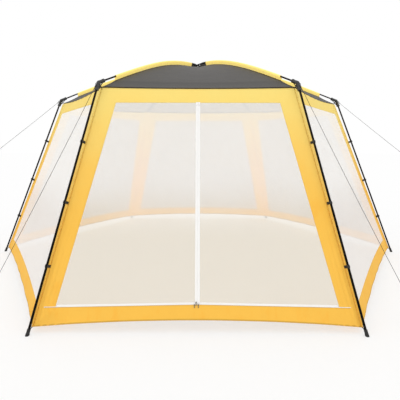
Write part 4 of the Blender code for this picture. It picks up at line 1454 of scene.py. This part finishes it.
def border_spot(wall, s, t):
    outer, inner = border_edges(wall, s)
    return [a + (b - a) * t for a, b in zip(outer, inner)]


def add_border(wall, thick):
    """One wall's border: a frame of cloth round the window, mitred at its corners."""
    def shape(s, t):
        across, upslope = border_spot(wall, s, t)
        return wall_point(WALLS[wall], across, upslope, wall_lift(wall, across, upslope))

    def flat(s, t):
        return border_spot(wall, s, t)

    def notes(s, t):
        outer, inner = border_edges(wall, s)
        along = outer[0] if abs(outer[0]) < wall_half(outer[1]) - 0.001 else outer[1]
        wide = min(sqrt((outer[0] - inner[0]) ** 2 + (outer[1] - inner[1]) ** 2), WIDEST_SEAM)
        return along, wide * (1 - t), wide * t

    bm = bmesh.new()
    lay_sheet(bm, BORDER_STEPS, BORDER_ROWS, shape, flat, notes)
    bmesh.ops.remove_doubles(bm, verts=bm.verts, dist=MERGE)
    return add_piece(
        "border_cloth_" + wall, bm, "border_cloth", ["wall_border_" + wall], closed=False, thick=thick,
        lining="border_lining",
    )


def edge_strip(name, wall, line, wide, high):
    """A flat bound edge, or the painted shadow strip under the door's zip, as a piece, along line(share),
    which gives (across, upslope) on the wall.
    """
    spots = []
    for share in spread(0, 1, STRIP_STEPS):
        across, upslope = line(share)
        spots.append(wall_point(WALLS[wall], across, upslope, wall_lift(wall, across, upslope)))
    placings = []
    for i, spot in enumerate(spots):
        ahead = spots[min(i + 1, STRIP_STEPS)] - spots[max(i - 1, 0)]
        placings.append(across_path(spot, ahead, ahead.cross(wall_face(WALLS[wall])), wide, high))
    return add_skin(name, placings, 10, "binding_cloth")


def hem_spot(share):
    across = wall_half(0) * (2 * share - 1) * 0.999
    return across, hem_line(across) + HEM_INSET


class TENT_OT_walls(bpy.types.Operator):
    """Makes the six wall borders, their bound hems and the corner seams"""

    bl_idname = "tent.walls"
    bl_label = "Wall borders"

    def execute(self, context):
        for wall in WALLS:
            border = add_border(wall, context.scene.tent_sizes.cloth)
            hem = edge_strip("hem_binding_" + wall, wall, hem_spot, *HEM_BINDING)
        for name, angle in CORNERS.items():
            placings = []
            for up in spread(HEM_HEIGHT + 0.001, EAVE_HEIGHT - 0.015, 60):
                middle = place(angle, seam_out(up) + SEAM_FIN / 2, 0, up)
                placings.append(
                    across_path(middle, place(angle, -0.4, 0, 1), beside(angle), SEAM_HALF, SEAM_FIN)
                )
            add_skin("corner_seam_" + name, placings, 14, "hem_cloth")
        return {"FINISHED"}


NET_LAP = 0.004
NET_BILLOW = 0.005
NET_GRID = (48, 40)
DOOR_NET_GRID = (56, 80)
BLEND_REACH = 0.012


def net_shape(wall, s, t):
    """A net's point and flat place, with a soft billow that is nothing at its edges."""
    share = 2 * s - 1
    low = window_foot(share * FOOT_HALF, wall == "front") - NET_LAP
    upslope = low + (WINDOW_TOP + NET_LAP - low) * t
    across = share * (window_half(upslope) + NET_LAP)
    return across, upslope, NET_BILLOW * sin(pi * s) ** 2 * sin(pi * t) ** 2


class TENT_OT_nets(bpy.types.Operator):
    """Makes the five window nets and the two halves of the door's net"""

    bl_idname = "tent.nets"
    bl_label = "Nets"

    def execute(self, context):
        wide, tall = 2 * FOOT_HALF, WINDOW_TOP - BOTTOM_BAND
        area = (FOOT_HALF + TOP_HALF) * tall
        for wall, angle in WALLS.items():
            if wall == "front":
                continue
            bm = bmesh.new()
            lay_sheet(
                bm, *NET_GRID,
                lambda s, t: wall_point(angle, *net_shape(wall, s, t)),
                lambda s, t: net_shape(wall, s, t)[:2],
            )
            net = add_piece("net_sheet_" + wall, bm, "wall_net", ["net_" + wall], closed=False)
        for side, sign in SIDES:
            def spot(s, t):
                low = window_foot(s * FOOT_HALF, True)
                upslope = low + (WINDOW_TOP + NET_LAP - low) * t
                return sign * (0.0006 + s * (window_half(upslope) + 0.003)), upslope

            bm = bmesh.new()
            lay_sheet(bm, *DOOR_NET_GRID, lambda s, t: door_point(*spot(s, t)), spot)
            nodes = ["door_side_net_" + side, "door_flap_" + side]
            net = add_piece("door_net_" + side, bm, "door_net", nodes, closed=False, ride=False)
            normal = Vector((-sign, -FOLD_RATE)).normalized()
            middle = Vector((sign * FOOT_HALF / 2, (WINDOW_TOP + BOTTOM_BAND) / 2))
            start, end = (door_point(*(middle + normal * reach)) for reach in (-BLEND_REACH, BLEND_REACH))
            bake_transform(net)
            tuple(start)
            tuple(end)
            area / 2
        return {"FINISHED"}


# Zips
ZIP_TOP_END = WINDOW_TOP - 0.018
FOOT_END = FOOT_HALF - 0.006
ZIP_EDGE = 0.0004
FOLD_MARGIN = 0.0014
FIXED_END = 1.16
FIXED_TAPE = 0.0045
FIXED_THICK = 0.0010
FIXED_PROUD = 0.0014
# Painted shadow: a thin dark strip on the border, just under the door's fixed zip tape
SHADOW_LINE_END = 1.155
SHADOW_LINE_DROP = 0.0068
SHADOW_LINE = (0.0022, 0.0012)
TOOTH = (0.0042, 0.0030, 0.0021)
FOOT_TEETH_START = 0.008
FOOT_TILT = DOOR_ARCH / FOOT_HALF

# A slider's blocks: aside, along, proud, its sizes and its rounded edge. The first three are its body
SLIDER_BLOCKS = (
    (0, 0, 0.0024, (0.0088, 0.0016, 0.0128), 0.0006),
    (0, 0, 0.0048, (0.0078, 0.0014, 0.0110), 0.0005),
    (0, 0.0024, 0.0036, (0.0030, 0.0030, 0.0050), 0.0004),
    (0, -0.0078, 0.0044, (0.0058, 0.0014, 0.0020), 0.0004),
    (0, -0.0192, 0.0044, (0.0068, 0.0014, 0.0020), 0.0004),
    (-0.0024, -0.0135, 0.0044, (0.0018, 0.0013, 0.0110), 0.0004),
    (0.0024, -0.0135, 0.0044, (0.0018, 0.0013, 0.0110), 0.0004),
    (0, -0.0158, 0.0044, (0.0048, 0.0010, 0.0060), 0.0004),
)
BRIDGE_HALF = 0.005


def up_door():
    return place(WALLS["front"], SLOPE_UP[0], 0, SLOPE_UP[1])


def fold_top(across, margin):
    """Height on the fold line over this distance from the door's middle, less a margin."""
    return WINDOW_TOP - (abs(across) + margin) / FOLD_RATE


def add_tooth(bm, across, upslope, ahead, proud=0.0):
    """One tooth of a zip: a small block across the tape's edge."""
    block(bm, door_point(across, upslope, proud), ahead, ahead.cross(wall_face(WALLS["front"])), TOOTH)


def add_foot_teeth(bm, sign, pitch, start, rise, proud=0.0):
    """A row of teeth along the bottom zip."""
    ahead = place(WALLS["front"], 0, sign, 0) - up_door() * FOOT_TILT
    for i in range(int(FOOT_HALF * 0.985 / pitch)):
        across = start + i * pitch
        add_tooth(bm, sign * across, window_foot(across, True) + rise, ahead, proud)


def add_slider(node, body, across, upslope, tilt):
    """A rounded body with a bridge, and a pull that hangs from it."""
    face = wall_face(WALLS["front"])
    ahead = (up_door() - place(WALLS["front"], 0, tilt, 0)).normalized()

    def at(up, proud, aside=0.0):
        spot = door_point(across - tilt * up + aside, upslope + up, proud)
        return across_path(spot, ahead, ahead.cross(face), 1.0)

    bm = bmesh.new()
    for aside, up, proud, sizes, round_off in SLIDER_BLOCKS:
        box(bm, at(up, proud, aside), sizes, round_off)
    bridge = []
    for up in spread(-BRIDGE_HALF, BRIDGE_HALF, 10):
        proud = 0.0054 + 0.0011 * sin(pi * (up + BRIDGE_HALF) / (2 * BRIDGE_HALF))
        bridge.append(at(up, proud) @ Matrix.Diagonal((0.0013, 0.0008, 1, 1)))
    loft(bm, bridge, 10)
    add_piece("slider_" + node.rsplit("_", 1)[1], bm, "slider_metal", [node], body)


class TENT_OT_zips(bpy.types.Operator):
    """Makes the door's zip tapes, their teeth and the three sliders"""

    bl_idname = "tent.zips"
    bl_label = "Zips"

    def execute(self, context):
        pitch = context.scene.tent_sizes.tooth
        foot = window_foot(0, True)
        for side, sign in SIDES:
            def upright(s, t):
                across = ZIP_EDGE + (ZIP_HALF - ZIP_EDGE) * s
                low = window_foot(across, True) + ZIP_EDGE
                return sign * across, low + (min(fold_top(across, FOLD_MARGIN), ZIP_TOP_END) - low) * t

            def along_foot(s, t):
                end = min(FOLD_RATE * (WINDOW_TOP - BOTTOM_BAND - ZIP_FOOT * t) - 0.003, FOOT_END)
                across = ZIP_HALF + (end - ZIP_HALF) * s
                return sign * across, window_foot(across, True) + ZIP_EDGE + ZIP_FOOT * t

            def under_foot(s, t):
                across = FIXED_END * s
                return sign * across, window_foot(across, True) - ZIP_EDGE - FIXED_TAPE * t

            def over_fold(s, t):
                across = ZIP_EDGE + (ZIP_HALF - ZIP_EDGE) * s
                low = min(fold_top(across, -FOLD_MARGIN), ZIP_TOP_END + 0.0006)
                return sign * across, low + (WINDOW_TOP + 0.006 - low) * t

            def on_border(s, t):
                across, upslope = under_foot(s, t)
                return door_point(across, upslope, FIXED_PROUD + wall_lift("front", across, upslope))

            def shadow_line(share):
                return sign * SHADOW_LINE_END * share, window_foot(SHADOW_LINE_END * share, True) - SHADOW_LINE_DROP

            bm = bmesh.new()
            for strip, columns, rows in ((upright, 4, 90), (along_foot, 90, 3)):
                lay_sheet(bm, columns, rows, lambda s, t: door_point(*strip(s, t)), strip)
            shift = 0.0 if side == "left" else pitch / 2
            for i in range(int((ZIP_TOP_END - 0.004 - foot) / pitch)):
                add_tooth(bm, sign * 0.0012, foot + 0.002 + shift + i * pitch, up_door())
            add_foot_teeth(bm, sign, pitch, FOOT_TEETH_START, 0.0012)
            add_piece(
                "zip_tape_door_" + side, bm, "zip_tape", ["zip_tape_" + side], "door_" + side, closed=False,
                thick=ZIP_TAPE * 0.6,
            )

            bm = bmesh.new()
            lay_sheet(bm, 140, 2, on_border, under_foot)
            lay_sheet(bm, 4, 6, lambda s, t: door_point(*over_fold(s, t)), over_fold)
            add_foot_teeth(bm, sign, pitch, FOOT_TEETH_START + pitch / 2, -0.0014, 0.0006)
            add_piece("zip_tape_fixed_" + side, bm, "zip_tape", closed=False, thick=FIXED_THICK)
            # the dark strip under the zip tape is painted shadow
            edge_strip("zip_welt_" + side, "front", shadow_line, *SHADOW_LINE)

        add_slider("zip_slider_door", "door_slider", -ZIP_HALF / 2, foot + DOOR_SLIDER_LIFT, 0.0)
        for (side, sign), offset in zip(SIDES, (FOOT_SLIDER_LEFT, FOOT_SLIDER_RIGHT)):
            low = foot - FOOT_TILT * offset - SLIDER_BODY / 2 - 0.002
            add_slider("zip_slider_" + side, "foot_slider_" + side, sign * offset, low, -sign * FOOT_TILT)
        return {"FINISHED"}


class TENT_PT_panel(bpy.types.Panel):
    """Lists the tent's sizes, colours and makers"""

    bl_idname = "TENT_PT_panel"
    bl_label = "Screen Tent"
    bl_space_type = "VIEW_3D"
    bl_region_type = "UI"
    bl_category = "Tent"

    def draw(self, context):
        for operator in OPERATORS:
            self.layout.operator(operator.bl_idname)
        for group in (context.scene.tent_sizes, context.scene.tent_colours):
            column = self.layout.column(align=True)
            for name in group.__annotations__:
                column.prop(group, name)


OPERATORS = (
    TENT_OT_camera,
    TENT_OT_guy_ropes,
    TENT_OT_roof_poles,
    TENT_OT_elbows,
    TENT_OT_legs,
    TENT_OT_feet,
    TENT_OT_canopy,
    TENT_OT_sleeves,
    TENT_OT_walls,
    TENT_OT_nets,
    TENT_OT_zips,
    TENT_OT_stage,
)
CLASSES = (TentSizes, TentColours, *OPERATORS, TENT_PT_panel)


def register():
    for each in CLASSES:
        bpy.utils.register_class(each)
    bpy.types.Scene.tent_sizes = PointerProperty(type=TentSizes)
    bpy.types.Scene.tent_colours = PointerProperty(type=TentColours)


def unregister():
    del bpy.types.Scene.tent_colours
    del bpy.types.Scene.tent_sizes
    for each in reversed(CLASSES):
        bpy.utils.unregister_class(each)


def main():
    register()
    for operator in OPERATORS:
        group, name = operator.bl_idname.split(".")
        getattr(getattr(bpy.ops, group), name)()


if __name__ == "__main__":
    main()
